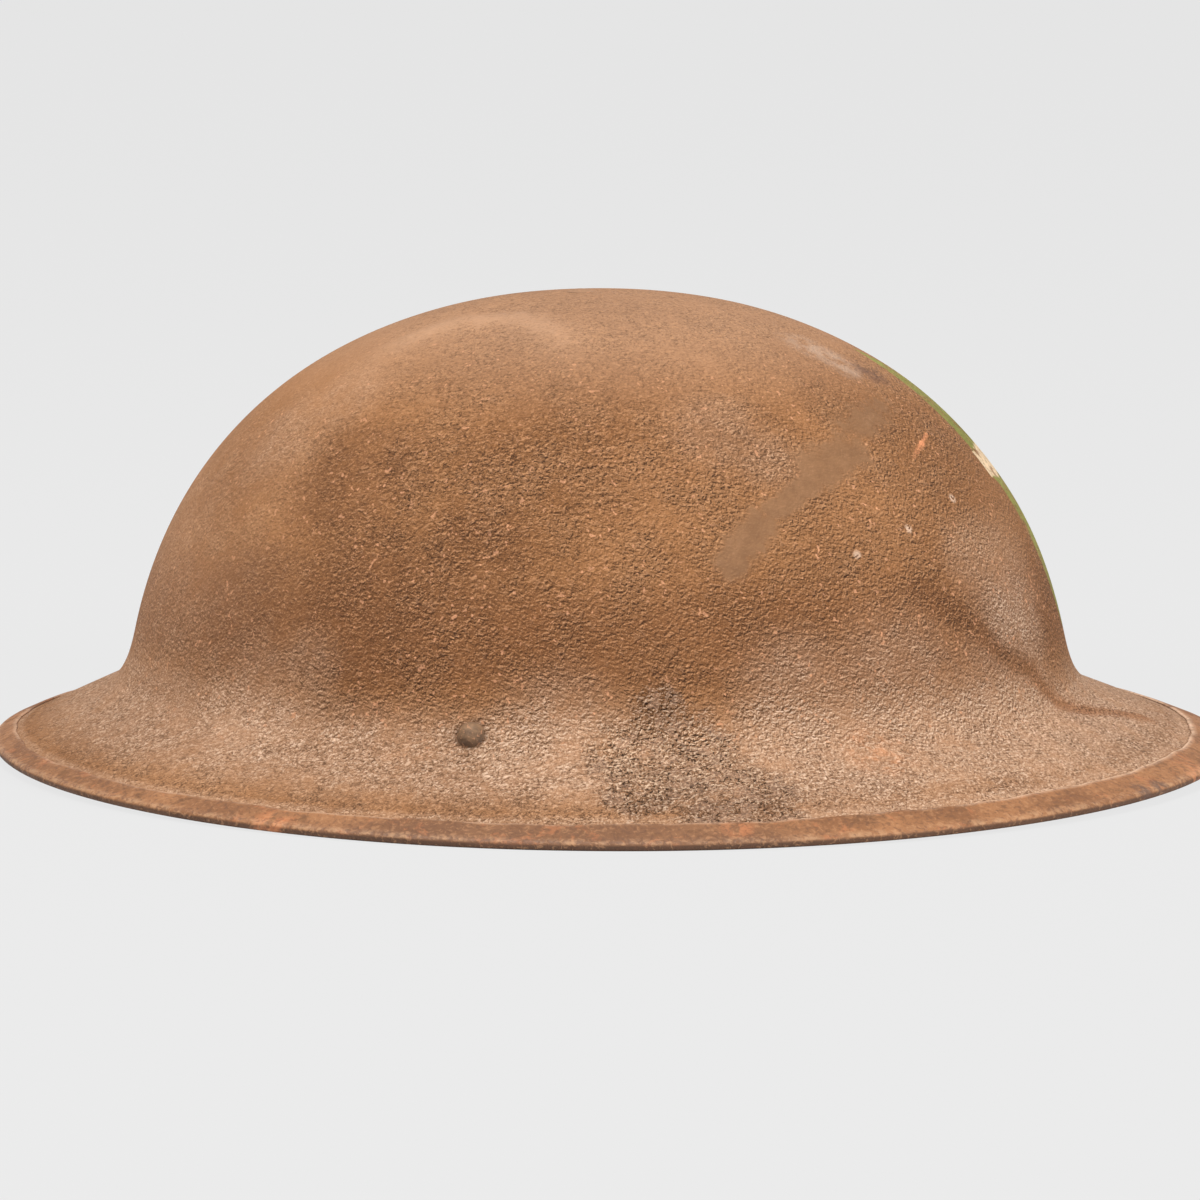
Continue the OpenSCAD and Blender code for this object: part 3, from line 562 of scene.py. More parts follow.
def inner_paint():
    """Thin brown paint on the inside, stained and rusting through."""
    f = Finish("inner_paint")
    mottled = f.noise(5, 3.0, 0.6)
    grain = f.noise(1.4, 2.0, 0.5, 0.5)
    f.base = f.mix(f.rise(f.noise(24, 4.0, 0.6), 0.35, 0.65), (112, 80, 54), (140, 103, 70))
    f.lay(0.6 * f.rise(mottled, 0.56, 0.66), (128, 66, 36))
    f.lay(0.5 * f.rise(grain, 0.46, 0.36), (70, 46, 30))
    f.lay(0.35 * f.rise(grain, 0.58, 0.68), (176, 136, 102))
    return f.surface(0.86 - 0.1 * mottled, 0.3 * grain + 0.15 * mottled, specular=0.3)


def rim_paint():
    """Smooth paint on the folded strip, worn smoother along the bead where a painted highlight runs on its
    top, with painted shade on its underside, and rust spots.
    """
    f = Finish("rim_paint")
    rise = f.rise
    edge, under, lip = f.layer("edge"), f.layer("under"), f.layer("lip")
    cloud = f.noise(16, 3.0, 0.6)
    patchy = f.noise(4.5, 4.0, 0.65, 0.4)
    grain = f.noise(1.2, 3.0, 0.6, 0.6)
    f.base = f.mix(rise(cloud, 0.35, 0.65), (122, 79, 46), (150, 102, 64))
    f.lay(0.65 * rise(f.y * f.y, 0.0165, 0.0195), (104, 70, 46))
    f.lay(0.5 * rise(patchy, 0.55, 0.66), (102, 70, 45))
    f.lay(0.5 * rise(f.noise(7, 4.0, 0.7, 0.6), 0.56, 0.66), (170, 106, 66))
    # Painted highlight along the top of the bead
    f.lay(0.5 * edge * rise(patchy + 0.3 * grain, 0.55, 0.8), (192, 150, 112))
    f.lay(0.8 * lip * rise(cloud + 0.4 * patchy, 0.5, 0.8), (224, 188, 158))
    # Painted shade on the strip's underside and the lower half of the bead
    f.lay(0.85 * under, (66, 43, 28))
    for spot, radius in (((38.5, -135, 3.8), 4.0), ((-71, -127.6, 2.6), 5.0), ((146, -46.8, 3.6), 6.0)):
        f.lay(0.45 * f.near(spot, radius * 0.4, radius) * rise(patchy, 0.42, 0.58), (206, 130, 84))
    for spot in ((132.6, -72.8, 3.8), (137, -66.4, 3.8)):
        f.lay(0.75 * f.near(spot, 1.4, 2.6) * rise(patchy, 0.36, 0.5), (84, 62, 52))
    f.lay(0.5 * rise(grain, 0.47, 0.38), (92, 60, 40))
    f.lay(0.3 * rise(grain, 0.54, 0.64), (184, 136, 96))
    return f.surface(0.7 - 0.2 * edge + 0.15 * rise(patchy, 0.5, 0.7), 0.4 * grain + 0.2 * patchy,
                     specular=0.4)


def rivet_paint():
    """Brown paint over rivet heads, with a painted highlight on top and painted shade at the lower side."""
    f = Finish("rivet_paint")
    patchy = f.noise(2.4, 3.0, 0.6)
    grain = f.noise(1.0, 2.0, 0.6)
    middle = steel(*lug_place())[2] * MM
    f.base = f.mix(f.rise(patchy, 0.4, 0.62), (88, 64, 43), (118, 88, 61))
    # Painted highlight on the heads' top side, and painted shade on the lug rivets' lower side
    f.lay(0.2 * f.rise(f.z + 0.001 * patchy, middle + 0.0012, middle + 0.0028), (176, 138, 104))
    f.lay(0.7 * f.rise(f.z, middle + 0.0004, middle - 0.002), (66, 45, 29))
    f.lay(0.9 * f.rise(f.z, 0.05, 0.09), (148, 110, 80))
    f.lay(0.5 * f.rise(grain, 0.56, 0.66), (196, 140, 102))
    return f.surface(0.68, 0.3 * grain + 0.1 * patchy, specular=0.4)


def dull_steel(name, dark, light, rust):
    """Bare steel gone dull, with brown rust in patches."""
    f = Finish(name)
    cloud = f.noise(9, 4.0, 0.6)
    patchy = f.noise(2.6, 4.0, 0.65, 0.3)
    scuff = f.noise(0.5, 1.0)
    f.base = f.mix(f.rise(cloud, 0.38, 0.62), dark, light)
    f.lay(0.25 * f.rise(scuff, 0.5, 0.7), (190, 182, 168))
    rusty = f.rise(patchy + 0.4 * (cloud - 0.5), 0.60 - 0.18 * rust, 0.70 - 0.18 * rust)
    f.lay(0.85 * rusty, (122, 72, 42))
    return f.surface(0.42 + 0.4 * rusty + 0.1 * cloud, 0.07 * patchy + 0.02 * scuff, 0.85 - 0.75 * rusty)


def tarnished_brass():
    f = Finish("tarnished_brass")
    cloud = f.noise(7, 4.0, 0.6)
    patchy = f.noise(1.8, 3.0, 0.6)
    f.base = f.mix(f.rise(cloud, 0.35, 0.65), (150, 118, 66), (186, 152, 92))
    dirty = f.rise(patchy + 0.5 * (cloud - 0.5), 0.52, 0.66)
    f.lay(0.7 * dirty, (92, 72, 42))
    return f.surface(0.32 + 0.35 * dirty, 0.04 * patchy, 0.95 - 0.4 * dirty)


def leather(name, dark, light, worn):
    """Vegetable-tanned leather with pores, creases and a darker, burnished edge."""
    f = Finish(name)
    mottled = f.noise(6, 3.0, 0.6)
    creases = f.noise(3.2, 4.0, 0.62, 1.6)
    f.base = f.mix(f.rise(f.noise(22, 4.0, 0.6), 0.32, 0.68), dark, light)
    f.lay(0.35 * f.rise(mottled, 0.5, 0.68), worn)
    f.lay(0.4 * f.rise(creases, 0.44, 0.36), (52, 30, 18))
    f.lay(0.6 * f.layer("edge"), (62, 36, 22))
    return f.surface(0.56 + 0.2 * f.rise(mottled, 0.4, 0.7),
                     0.16 * f.cells(0.9, "SMOOTH_F1") + 0.22 * creases, specular=0.35)


def oilcloth():
    """Black oilcloth: a fine weave under a crackled, dull coat."""
    f = Finish("oilcloth")
    cloud = f.noise(18, 4.0, 0.6)
    crack = f.rise(f.cells(3.4, "DISTANCE_TO_EDGE"), 0.05, 0.012) * f.rise(f.noise(9), 0.45, 0.6)
    weave = f.noise(0.7, 1.0)
    f.base = f.mix(f.rise(cloud, 0.35, 0.65), (44, 41, 37), (66, 61, 54))
    f.lay(0.55 * crack, (120, 108, 88))
    f.lay(0.25 * f.rise(weave, 0.52, 0.68), (98, 90, 76))
    return f.surface(0.48 + 0.25 * cloud, 0.06 * weave - 0.08 * crack, specular=0.4)


def rubber():
    """Old rubber with a pale bloom and fine cracks."""
    f = Finish("rubber")
    cloud = f.noise(8, 3.0, 0.6)
    speck = f.noise(1.2, 3.0, 0.6)
    f.base = f.mix(f.rise(cloud, 0.35, 0.65), (58, 53, 48), (92, 85, 76))
    f.lay(0.35 * f.rise(speck, 0.55, 0.68), (134, 124, 108))
    return f.surface(0.7 + 0.15 * cloud, 0.08 * speck, specular=0.3)


def felt():
    f = Finish("felt")
    fibre = f.noise(1.0, 4.0, 0.75, 2.2)
    f.base = f.mix(f.rise(f.noise(12, 3.0, 0.6), 0.35, 0.65), (106, 99, 86), (134, 126, 108))
    f.lay(0.5 * f.rise(fibre, 0.52, 0.66), (168, 160, 140))
    return f.surface(0.95, 0.45 * fibre, specular=0.15, sheen=0.3)


def cord_finish(name, dark, light, twist):
    """Twisted cord: the lay runs round it as slanting grooves."""
    f = Finish(name)
    turn = f.layer("along") * (1000 / twist) + f.layer("around") * 3
    lay = f.math("SINE", turn * (2 * math.pi))
    fuzz = f.noise(0.5, 2.0, 0.7)
    f.base = f.mix(f.rise(f.noise(14, 3.0, 0.6), 0.35, 0.65), dark, light)
    f.lay(0.45 * f.rise(lay, -0.4, -0.95), (84, 72, 50))
    f.lay(0.3 * f.rise(fuzz, 0.5, 0.7), (196, 184, 152))
    return f.surface(0.9, 0.14 * lay + 0.08 * fuzz, specular=0.2, sheen=0.2)


def thread():
    f = Finish("thread")
    fuzz = f.noise(0.5, 2.0, 0.7)
    f.base = f.mix(f.rise(fuzz, 0.4, 0.65), (134, 116, 84), (186, 168, 130))
    return f.surface(0.85, 0.05 * fuzz, specular=0.2)


# Steel pieces


def make_shell():
    """Pressed sheet, outer and inner face, with the marks of its wear and a painted highlight along the crest
    as layers.
    """
    columns = 288
    outer_s = np.concatenate([np.linspace(0.006, 1, 100), np.linspace(1, 2, 26)[1:],
                              np.linspace(2, 3, 22)[1:]])
    inner_s = np.concatenate([np.linspace(3, 2, 14), np.linspace(2, 1, 18)[1:],
                              np.linspace(1, 0.006, 56)[1:]])
    angle = np.arange(columns) * 360 / columns
    tip = np.array([0.002]), np.array([0.0])
    p = np.concatenate([bent_steel(outer_s[:, None], angle).reshape(-1, 3),
                        bent_steel(inner_s[:, None], angle, SHEET).reshape(-1, 3),
                        bent_steel(*tip), bent_steel(*tip, SHEET)])
    s = np.concatenate([np.repeat(outer_s, columns), np.repeat(inner_s, columns), [0, 0]])
    tip_out, tip_in = len(p) - 2, len(p) - 1
    after = [(j + 1) % columns for j in range(columns)]
    last = tip_out - columns
    faces = [(tip_out, j, after[j]) for j in range(columns)]
    faces += [(row + j, row + columns + j, row + columns + after[j], row + after[j])
              for row in range(0, last, columns) for j in range(columns)]
    faces += [(tip_in, last + after[j], last + j) for j in range(columns)]
    shell = piece("steel_shell", p, faces, sand_paint(), inner_paint(), sharp=50)
    inner = np.zeros(len(faces), np.int32)
    inner[columns + len(outer_s) * columns:] = 1
    shell.data.polygons.foreach_set("material_index", inner)

    def blotch(spots):
        """1 inside spots of place and radius, 0 outside twice the radius."""
        return np.max([fade(np.linalg.norm(p - spot, axis=1), r * 0.6, r * 1.9) for spot, r in spots], axis=0)
    x, y, z = p.T
    near_crest = fade(np.linalg.norm(p - (-30, -32, 110), axis=1), 14, 42)
    crest = np.exp(-(off_line(p, CREST) / 6.5) ** 2) * near_crest
    wiped = np.max([fade(off_line(p, (start, end)), 0.0, reach) for start, end, reach in STREAK], axis=0)
    stain = off_line(p, STAIN)
    flare = fade(np.abs(s - 1.9), 0.25, 0.95) * (s > 0.9)
    strip_s = 3 - binding_width(np.arctan2(y, x)) / 26.2
    beside = fade(np.abs(s - strip_s), 0.02, 0.11) * (s > 2)
    dust = (0.75 * flare + 0.55 * beside + 0.3 * (s > 1.5) * ease((x - 20) / 50)
            + 0.3 * fade(x, -112, -60) * (s < 1.4)
            + sum(share * blotch(spots) for share, spots in DUSTY_SPOTS))
    calm = ((0.5 - 0.25 * ease((s - 1.6) / 0.5)) * fade(x, -105, -30)
            + 0.42 * fade(x, -80, -30) * ease((z - 30) / 25) + 0.75 * ease((z - 82) / 24)
            + 0.5 * ease((x - 84) / 20) * ease((z - 40) / 20)
            + (0.05 + 0.1 * fade(x, -60, -20)) * ease((s - 1.9) / 0.6) + 0.3 * beside)
    # The wiped streak is worn paint; the crest's share carries a painted highlight
    attribute(shell, "rubbed_and_crest_highlight", np.clip(0.6 * crest + wiped * (1 - 0.25 * ease((z - 76) / 14)), 0, 1))
    attribute(shell, "flaked", blotch(FLAKED_SPOTS))
    attribute(shell, "dusty", (1 - 0.8 * fade(stain, 0.8, 4.5)) * np.clip(dust, 0, 1))
    attribute(shell, "stained", np.maximum(fade(stain, 0.8, 5.5), blotch(STAINED_SPOTS)))
    attribute(shell, "calm", np.clip(calm, 0, 1.2))
    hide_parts("shell")
    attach(shell, "helmet")


def binding_width(turn):
    """Width of the strip on the brim: narrow at the back and wide at the front."""
    return BINDING_WIDTHS[0] + (BINDING_WIDTHS[1] - BINDING_WIDTHS[0]) * (1 + np.cos(turn)) / 2


def make_rim():
    """Strip folded over the brim's edge, closed by a butt joint at the back."""
    count = 432
    half_joint = math.degrees(BINDING_JOINT / END_EDGE[0]) / 2
    angles = np.linspace(180 + half_joint, 540 - half_joint, count)
    edge = steel(np.full(count, 3.0), angles, SHEET / 2)
    out = unit(edge - steel(np.full(count, 2.5), angles, SHEET / 2))
    up = unit(steel(np.full(count, 3.0), angles) - steel(np.full(count, 3.0), angles, SHEET))
    turn = np.radians(angles)
    wobble = 0.22 * np.sin(turn * 17 + 1) + 0.16 * np.sin(turn * 41) + 0.12 * np.sin(turn * 73 + 2)
    widths = binding_width(turn) + wobble
    lifts = 0.05 * np.sin(turn * 29) + 0.05 * np.sin(turn * 53 + 1)
    outer_fold, inner_fold = (
        [(BEAD_REACH + r * math.cos(a), r * math.sin(a)) for a in np.radians(turns)]
        for r, turns in ((BEAD_R, np.linspace(-90, 90, 15)), (FOLD_R, (60, 0, -60))))
    rings, bead_wear_and_highlight, under_layer, lip_layer = [], [], [], []
    for i, (w, lift) in enumerate(zip(widths, lifts)):
        o = np.array([
            (-w + 0.1, -BEAD_R + 0.28), (-w + 0.35, -BEAD_R), *((-w * k / 4, -BEAD_R) for k in (3, 2, 1)),
            *outer_fold, *((-w * k / 5, BEAD_R + lift * math.sin(k * 0.63)) for k in (1, 2, 3, 4)),
            (-w + 0.9, BEAD_R + lift * 0.4 - 0.05), (-w + 0.35, BEAD_R - 0.2), (-w + 0.05, BEAD_R - 0.42),
            (-w, BEAD_R - BINDING_SHEET), (0, FOLD_R), *inner_fold, (0, -FOLD_R),
            (-w, -BEAD_R + BINDING_SHEET)])
        rings.append(edge[i] + o[:, :1] * out[i] + o[:, 1:] * up[i])
        front = ease((edge[i, 0] - 30) / 60)
        # Layers of a painted highlight on the bead's top, painted shade on the strip's underside, and the
        # pale lip at the inner edge
        bead_wear_and_highlight.append([fade(abs(a - 1.08), 0.08, 0.3) * (r > 0) for r, a in o])
        under_layer.append([fade(a, 0.5, 1.0) * (0.15 if r < -1 and a > 0 else 1) for r, a in o])
        lip_layer.append([(0.5 + 0.5 * front) * fade(r + w, 0.5, 1.2) * (a > 0.7) for r, a in o])
    rim = piece("rim_binding_strip", *rings_solid(rings), rim_paint(), sharp=60)
    for label, layer in (("edge", bead_wear_and_highlight), ("under", under_layer), ("lip", lip_layer)):
        attribute(rim, label, layer)
    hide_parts("rim_binding")
    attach(rim, "helmet")


# Things that repeat


class Growth(Nodes):
    """A geometry tree with named inputs. What it grows is realized and given its material."""

    def __init__(self, name, wants):
        tree = bpy.data.node_groups.new(name, "GeometryNodeTree")
        super().__init__(tree)
        self.asked = {}
        for label, kind, default in (("Guide", "Geometry", None), ("Material", "Material", None), *wants):
            socket = tree.interface.new_socket(name=label, in_out="INPUT", socket_type="NodeSocket" + kind)
            if default is not None:
                socket.default_value = default
            self.asked[label] = socket.identifier
        tree.interface.new_socket(name="Geometry", in_out="OUTPUT", socket_type="NodeSocketGeometry")
        entry = tree.nodes.new("NodeGroupInput")
        self.given = {label: Tone(self, entry.outputs[label]) for label in self.asked}

    def close(self, geometry):
        geometry = self.node("GeometryNodeRealizeInstances", {"Geometry": geometry})
        geometry = self.node("GeometryNodeSetShadeSmooth", {"Geometry": geometry})
        geometry = self.node("GeometryNodeSetMaterial", {
            "Geometry": geometry, "Material": self.given["Material"]})
        self.node("NodeGroupOutput", {"Geometry": geometry})
        return self

    def grow(self, name, guide, **values):
        """Run the tree on a guide and keep the result as a plain mesh."""
        modifier = guide.modifiers.new("growth", "NODES")
        modifier.node_group = self.tree
        for label, value in values.items():
            modifier[self.asked[label.replace("_", " ").capitalize()]] = value
        guide.update_tag()
        bpy.context.view_layer.update()
        view = bpy.context.evaluated_depsgraph_get()
        grown = add_object(name, bpy.data.meshes.new_from_object(guide.evaluated_get(view)))
        bpy.data.objects.remove(guide)
        return grown


def sown_tree():
    """One shape on each point of a guide, stood on the point's out and turned along its along."""
    g = Growth("sown_shapes", [("Shape", "Object", None), ("Size spread", "Float", 0.08),
                               ("Turn spread", "Float", 0.08)])
    shape = g.node("GeometryNodeObjectInfo", {"Object": g.given["Shape"]}, "Geometry",
                   transform_space="ORIGINAL")
    along, out = (g.node("GeometryNodeInputNamedAttribute", {"Name": name}, "Attribute",
                         data_type="FLOAT_VECTOR") for name in ("along", "out"))
    upright = g.node("FunctionNodeAlignRotationToVector", {"Vector": out}, axis="Z")
    upright = g.node("FunctionNodeAlignRotationToVector", {"Rotation": upright, "Vector": along},
                     axis="X", pivot_axis="Z")

    def chance(middle, spread, seed):
        return g.node("FunctionNodeRandomValue", {
            "Min": middle - spread, "Max": middle + spread, "Seed": seed}, 1, data_type="FLOAT")
    spin = g.node("ShaderNodeCombineXYZ", {"Z": chance(0, g.given["Turn spread"], 3)})
    turned = g.node("FunctionNodeRotateRotation", {"Rotation": upright, "Rotate By": spin},
                    rotation_space="LOCAL")
    return g.close(g.node("GeometryNodeInstanceOnPoints", {
        "Points": g.given["Guide"], "Instance": shape, "Rotation": turned,
        "Scale": chance(1, g.given["Size spread"], 10)}))


def corded_tree():
    """A round cord along every line of a guide, with layers for its lay."""
    g = Growth("round_cords", [("Radius", "Float", 0.001)])

    def mark(curve, label, measure):
        share = g.node("GeometryNodeSplineParameter", output=measure)
        return g.node("GeometryNodeStoreNamedAttribute", {"Geometry": curve, "Name": label, "Value": share},
                      data_type="FLOAT", domain="POINT")
    line = mark(g.node("GeometryNodeMeshToCurve", {"Mesh": g.given["Guide"]}), "along", "Length")
    ring = g.node("GeometryNodeCurvePrimitiveCircle", {"Resolution": 8, "Radius": g.given["Radius"]})
    return g.close(g.node("GeometryNodeCurveToMesh", {
        "Curve": line, "Profile Curve": mark(ring, "around", "Factor"), "Fill Caps": True}))


SOWN = sown_tree()
CORDED = corded_tree()


def guide_of(name, points, edges=()):
    """Loose points or lines, in millimetres, that a tree grows on."""
    mesh = bpy.data.meshes.new(name + "_guide")
    mesh.from_pydata((np.asarray(points) * MM).tolist(), edges, [])
    return add_object(name + "_guide", mesh)


def sow(name, shape, spots, material, **values):
    """spots are rows of place, along and out; places in millimetres."""
    spots = np.asarray(spots, float)
    guide = guide_of(name, spots[:, 0])
    for k, label in ((1, "along"), (2, "out")):
        layer = guide.data.attributes.new(label, "FLOAT_VECTOR", "POINT")
        layer.data.foreach_set("vector", unit(spots[:, k]).astype(np.float32).ravel())
    grown = SOWN.grow(name, guide, shape=shape, material=material, **values)
    bpy.data.objects.remove(shape)
    return grown


def cords(name, lines, radius, material):
    """Round cords along lines of points in millimetres."""
    points, edges = [], []
    for line in lines:
        edges += [(len(points) + k, len(points) + k + 1) for k in range(len(line) - 1)]
        points += list(line)
    return CORDED.grow(name, guide_of(name, points, edges), radius=radius * MM, material=material)


def stitch_shape(length, height, radius):
    """A short arched thread along x, rising along z."""
    t = np.linspace(-1, 1, 5)
    path = np.stack([t * length / 2, t * 0, height * (1 - t * t) - radius * 0.4], -1)
    ring = np.array([(radius * math.cos(a), radius * math.sin(a)) for a in np.radians(range(0, 360, 60))])
    rings = strip(path, np.tile((0.0, 1.0, 0.0), (5, 1)), ring, (0.6, 1, 1, 1, 0.6))
    return piece("stitch", *rings_solid(rings))


def blob_shape(name, size):
    """A small lumpy knot."""
    lat, lon = np.meshgrid(np.radians(np.linspace(-75, 75, 5)), np.radians(np.arange(0, 360, 45)),
                           indexing="ij")
    lump = 1 + 0.16 * np.sin(3 * lon + 2 * lat)
    ball = np.stack([lump * np.cos(lat) * np.cos(lon), lump * np.cos(lat) * np.sin(lon), np.sin(lat)], -1)
    return piece(name, *rings_solid(ball * size))


def join(name, parts):
    """One mesh out of several finished ones."""
    bpy.ops.object.select_all(action="DESELECT")
    for part in parts:
        part.select_set(True)
    bpy.context.view_layer.objects.active = parts[0]
    bpy.ops.object.join()
    parts[0].name = name
    return parts[0]


# Lining


def inside_half(half, z):
    return (half - SHEET) * (1 - (z / INSIDE) ** SQUARENESS) ** (1 / SQUARENESS)


BUFFER_ROOM = BUFFER_LENGTH ** 2 / 7 / DOME_HALVES[1] + SEAT
BUFFER_HALVES = np.array([inside_half(h, BUFFER_Z) - (BUFFER_D / 2 + BUFFER_ROOM) * 1.035
                          for h in DOME_HALVES])
BAND_HALVES = BUFFER_HALVES - BUFFER_D / 2 - SEAT
BAND_Z = (BUFFER_Z - BUFFER_D / 2 - 2, BUFFER_Z + BUFFER_D / 2 + 2)
HEAD_HALVES = BAND_HALVES - OILCLOTH - SEAT


def oval(halves, angle, z):
    """Points of an ellipse round the dome's centre, and its outward directions."""
    angle, z = np.broadcast_arrays(np.radians(np.asarray(angle, float)), np.asarray(z, float))
    c, s = np.cos(angle), np.sin(angle)
    out = unit(np.stack([c / halves[0], s / halves[1], 0 * c], -1))
    return np.stack([halves[0] * c - SETBACK, halves[1] * s, z], -1), out


def hoop(name, halves, outline, material, count=180, sway=None):
    """Closed band; outline gives offset outwards and height, sway a shift inwards by angle and height."""
    offset, z = np.array(outline, float).T
    rings = []
    for a in np.arange(count) * 360 / count:
        p, out = oval(halves, a, z)
        inwards = sway(math.radians(a), z) if sway else 0
        rings.append(p + out * (offset - inwards)[:, None])
    return piece(name, *rings_solid(rings, closed=True), material, sharp=70)


def oval_row(halves, z, spacing, offset):
    """Spots for stitches round an ellipse: places, directions along it and outwards."""
    fine = np.linspace(0, 360, 1441)
    p, out = oval(halves, fine, z)
    run = lengths(p + out * offset)
    count = int(run[-1] / spacing)
    p, out = oval(halves, np.interp((np.arange(count) + 0.5) * run[-1] / count, run, fine), z)
    return p + out * offset, np.cross((0, 0, 1), out), out


def make_headband(leather_finish, thread_finish):
    """Leather band with a rolled lower hem, two rows of stitches and a sewn seam at the back."""
    low, high = HEADBAND_Z
    inner = -HEADBAND
    outline = [(inner, low + 1.2), (inner + 0.5, low + 0.35), (-0.8, low), (0.1, low + 0.2),
               (0.75, low + 0.8), (0.8, low + 1.6), (0.6, low + 2.5), (0.0, low + 3.1), (-0.08, low + 5),
               (0, low + 12), (0, high - 8), (-0.05, high - 2), (-0.3, high - 0.5), (-0.8, high - 0.05),
               (-1.4, high - 0.15), (inner + 0.15, high - 0.7), (inner, high - 2), (inner, high - 10),
               (inner, low + 16), (inner, low + 8)]

    def sway(turn, z):
        return ((0.25 + 0.25 * np.sin(5 * turn + 1) + 0.12 * np.sin(13 * turn))
                * ease((z - low - 4) / 10) * fade(z, high - 6, high))
    band = hoop("leather_headband", HEAD_HALVES, outline, leather_finish, 240, sway)
    z = np.array([v.co.z for v in band.data.vertices]) / MM
    attribute(band, "edge", np.clip(fade(z, low + 0.5, low + 3.4) + ease((z - high + 1.6) / 1.4), 0, 1))

    spots = []
    for row_z in (low + 5.2, high - 3.4):
        for offset, sign in ((0.02, 1), (inner - 0.02, -1)):
            p, along, out = oval_row(HEAD_HALVES, row_z, 4.2, offset)
            turn = np.arctan2(p[:, 1] / HEAD_HALVES[1], (p[:, 0] + SETBACK) / HEAD_HALVES[0])
            spots += list(np.stack([p - out * sway(turn, row_z)[:, None], along, out * sign], 1))
    for turn in (177.6, 182.4):
        for k in range(7):
            p, out = oval(HEAD_HALVES, turn, low + 8 + k * 3.4)
            spots += [np.stack([p + out * offset, (0, 0, 1), out * sign])
                      for offset, sign in ((-0.3, 1), (inner - 0.45, -1))]
    sewn = sow("headband_stitches", stitch_shape(3.0, 0.35, 0.3), spots, thread_finish)
    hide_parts("headband")
    for part in (band, sewn):
        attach(part, "helmet")


def make_buffers(cloth, thread_finish, rubber_finish):
    """Oilcloth band with twelve rubber tubes, each held by a sewn loop."""
    low, high = BAND_Z
    inner = -OILCLOTH
    outline = [(inner, low + 0.3), (inner + 0.3, low), (-0.3, low), (0, low + 0.3), (0, low + 6),
               (0, high - 6), (0, high - 0.3), (-0.3, high), (inner + 0.3, high), (inner, high - 0.3),
               (inner, high - 6), (inner, low + 6)]
    band = hoop("buffer_cloth_band", BAND_HALVES, outline, cloth)

    angles = np.radians((np.arange(BUFFER_COUNT) + 0.5) * 360 / BUFFER_COUNT)
    reach_x, reach_y = BUFFER_HALVES[0] * np.cos(angles), BUFFER_HALVES[1] * np.sin(angles)
    turn = np.arctan2(BUFFER_HALVES[1] * np.cos(angles), -BUFFER_HALVES[0] * np.sin(angles))
    along = np.stack([np.cos(turn), np.sin(turn), 0 * turn], -1)
    out = np.stack([np.sin(turn), -np.cos(turn), 0 * turn], -1)
    centre = np.stack([reach_x - SETBACK, reach_y, 0 * turn + BUFFER_Z], -1)
    places = np.stack([centre, along, out], 1)

    r, bore, half = BUFFER_D / 2, BUFFER_BORE / 2, BUFFER_LENGTH / 2
    side = [(half - 0.9, r), (half - 0.3, r - 0.25), (half, r - 0.8), (half, bore + 0.5), (half - 0.5, bore)]
    outline = [*side, (0, bore), *((-x, q) for x, q in side[::-1]), (-half / 2, r), (0, r), (half / 2, r)]
    rings = [[(x, q * math.cos(a), q * math.sin(a)) for x, q in outline]
             for a in np.radians(np.arange(0, 360, 12))]
    tubes = sow("rubber_tubes", piece("tube_shape", *rings_solid(rings, closed=True), sharp=60), places,
                rubber_finish, turn_spread=0.0, size_spread=0.0)

    # The loop wraps the tube's middle and is sewn to the band above and below it
    wrap, foot = r + LOOP_PLAY, 0.3 - r - SEAT
    arc = np.radians(np.linspace(-112, 112, 25))
    line = np.array([(foot, -8.0), (foot, -7.2), *((wrap * math.cos(a), wrap * math.sin(a)) for a in arc),
                     (foot, 7.2), (foot, 8.0)])
    tangent = unit(np.gradient(line, axis=0))
    outer = line + np.stack([tangent[:, 1], -tangent[:, 0]], -1) * LOOP_CLOTH
    closed = np.concatenate([line, outer[::-1]])
    rings = [[(x, q[1], q[0]) for q in closed] for x in np.linspace(-LOOP_WIDTH / 2, LOOP_WIDTH / 2, 5)]
    loops = sow("buffer_loops", piece("loop_shape", *rings_solid(rings), sharp=50), places, cloth,
                turn_spread=0.0, size_spread=0.0)
    spots = [np.stack([c + a * k * 3.4 + o * (foot + 0.6) + (0, 0, z), a, o])
             for c, a, o in places for z in (-7.4, 7.4) for k in (-1, 0, 1)]
    sewn = sow("loop_stitches", stitch_shape(2.4, 0.3, 0.25), spots, thread_finish)
    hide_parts("buffer_band")
    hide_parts(*("rubber_buffer_%d" % (i + 1) for i in range(BUFFER_COUNT)))
    for part, name in ((band, "oilcloth"), (tubes, "rubber"), (loops, "oilcloth"), (sewn, "oilcloth")):
        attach(part, "helmet")


def arm_line(half, band_half, play):
    """Outer line of a cradle arm from the crown down over the band, as reach and height."""
    c, a = INSIDE - play, half - SHEET - play
    leave = math.degrees(math.asin((CRADLE_LEAVES / c) ** (SQUARENESS / 2)))
    dome = superellipse(a, 1.0, np.linspace(89.6, leave, 46))
    dome[:, 1] *= c
    down = unit(dome[-1] - dome[-2])
    rest = np.array([band_half + SEAT + OILCLOTH, BAND_Z[1] - 3])
    reach = np.linalg.norm(rest - dome[-1]) * 0.5
    hang = bezier([dome[-1], dome[-1] + down * reach, rest + (0, reach), rest], np.linspace(0, 1, 14)[1:])
    foot = [(rest[0], rest[1] - (rest[1] - BAND_Z[0] - 3) * k / 4) for k in (1, 2, 3, 4)]
    return np.concatenate([dome, hang, foot])


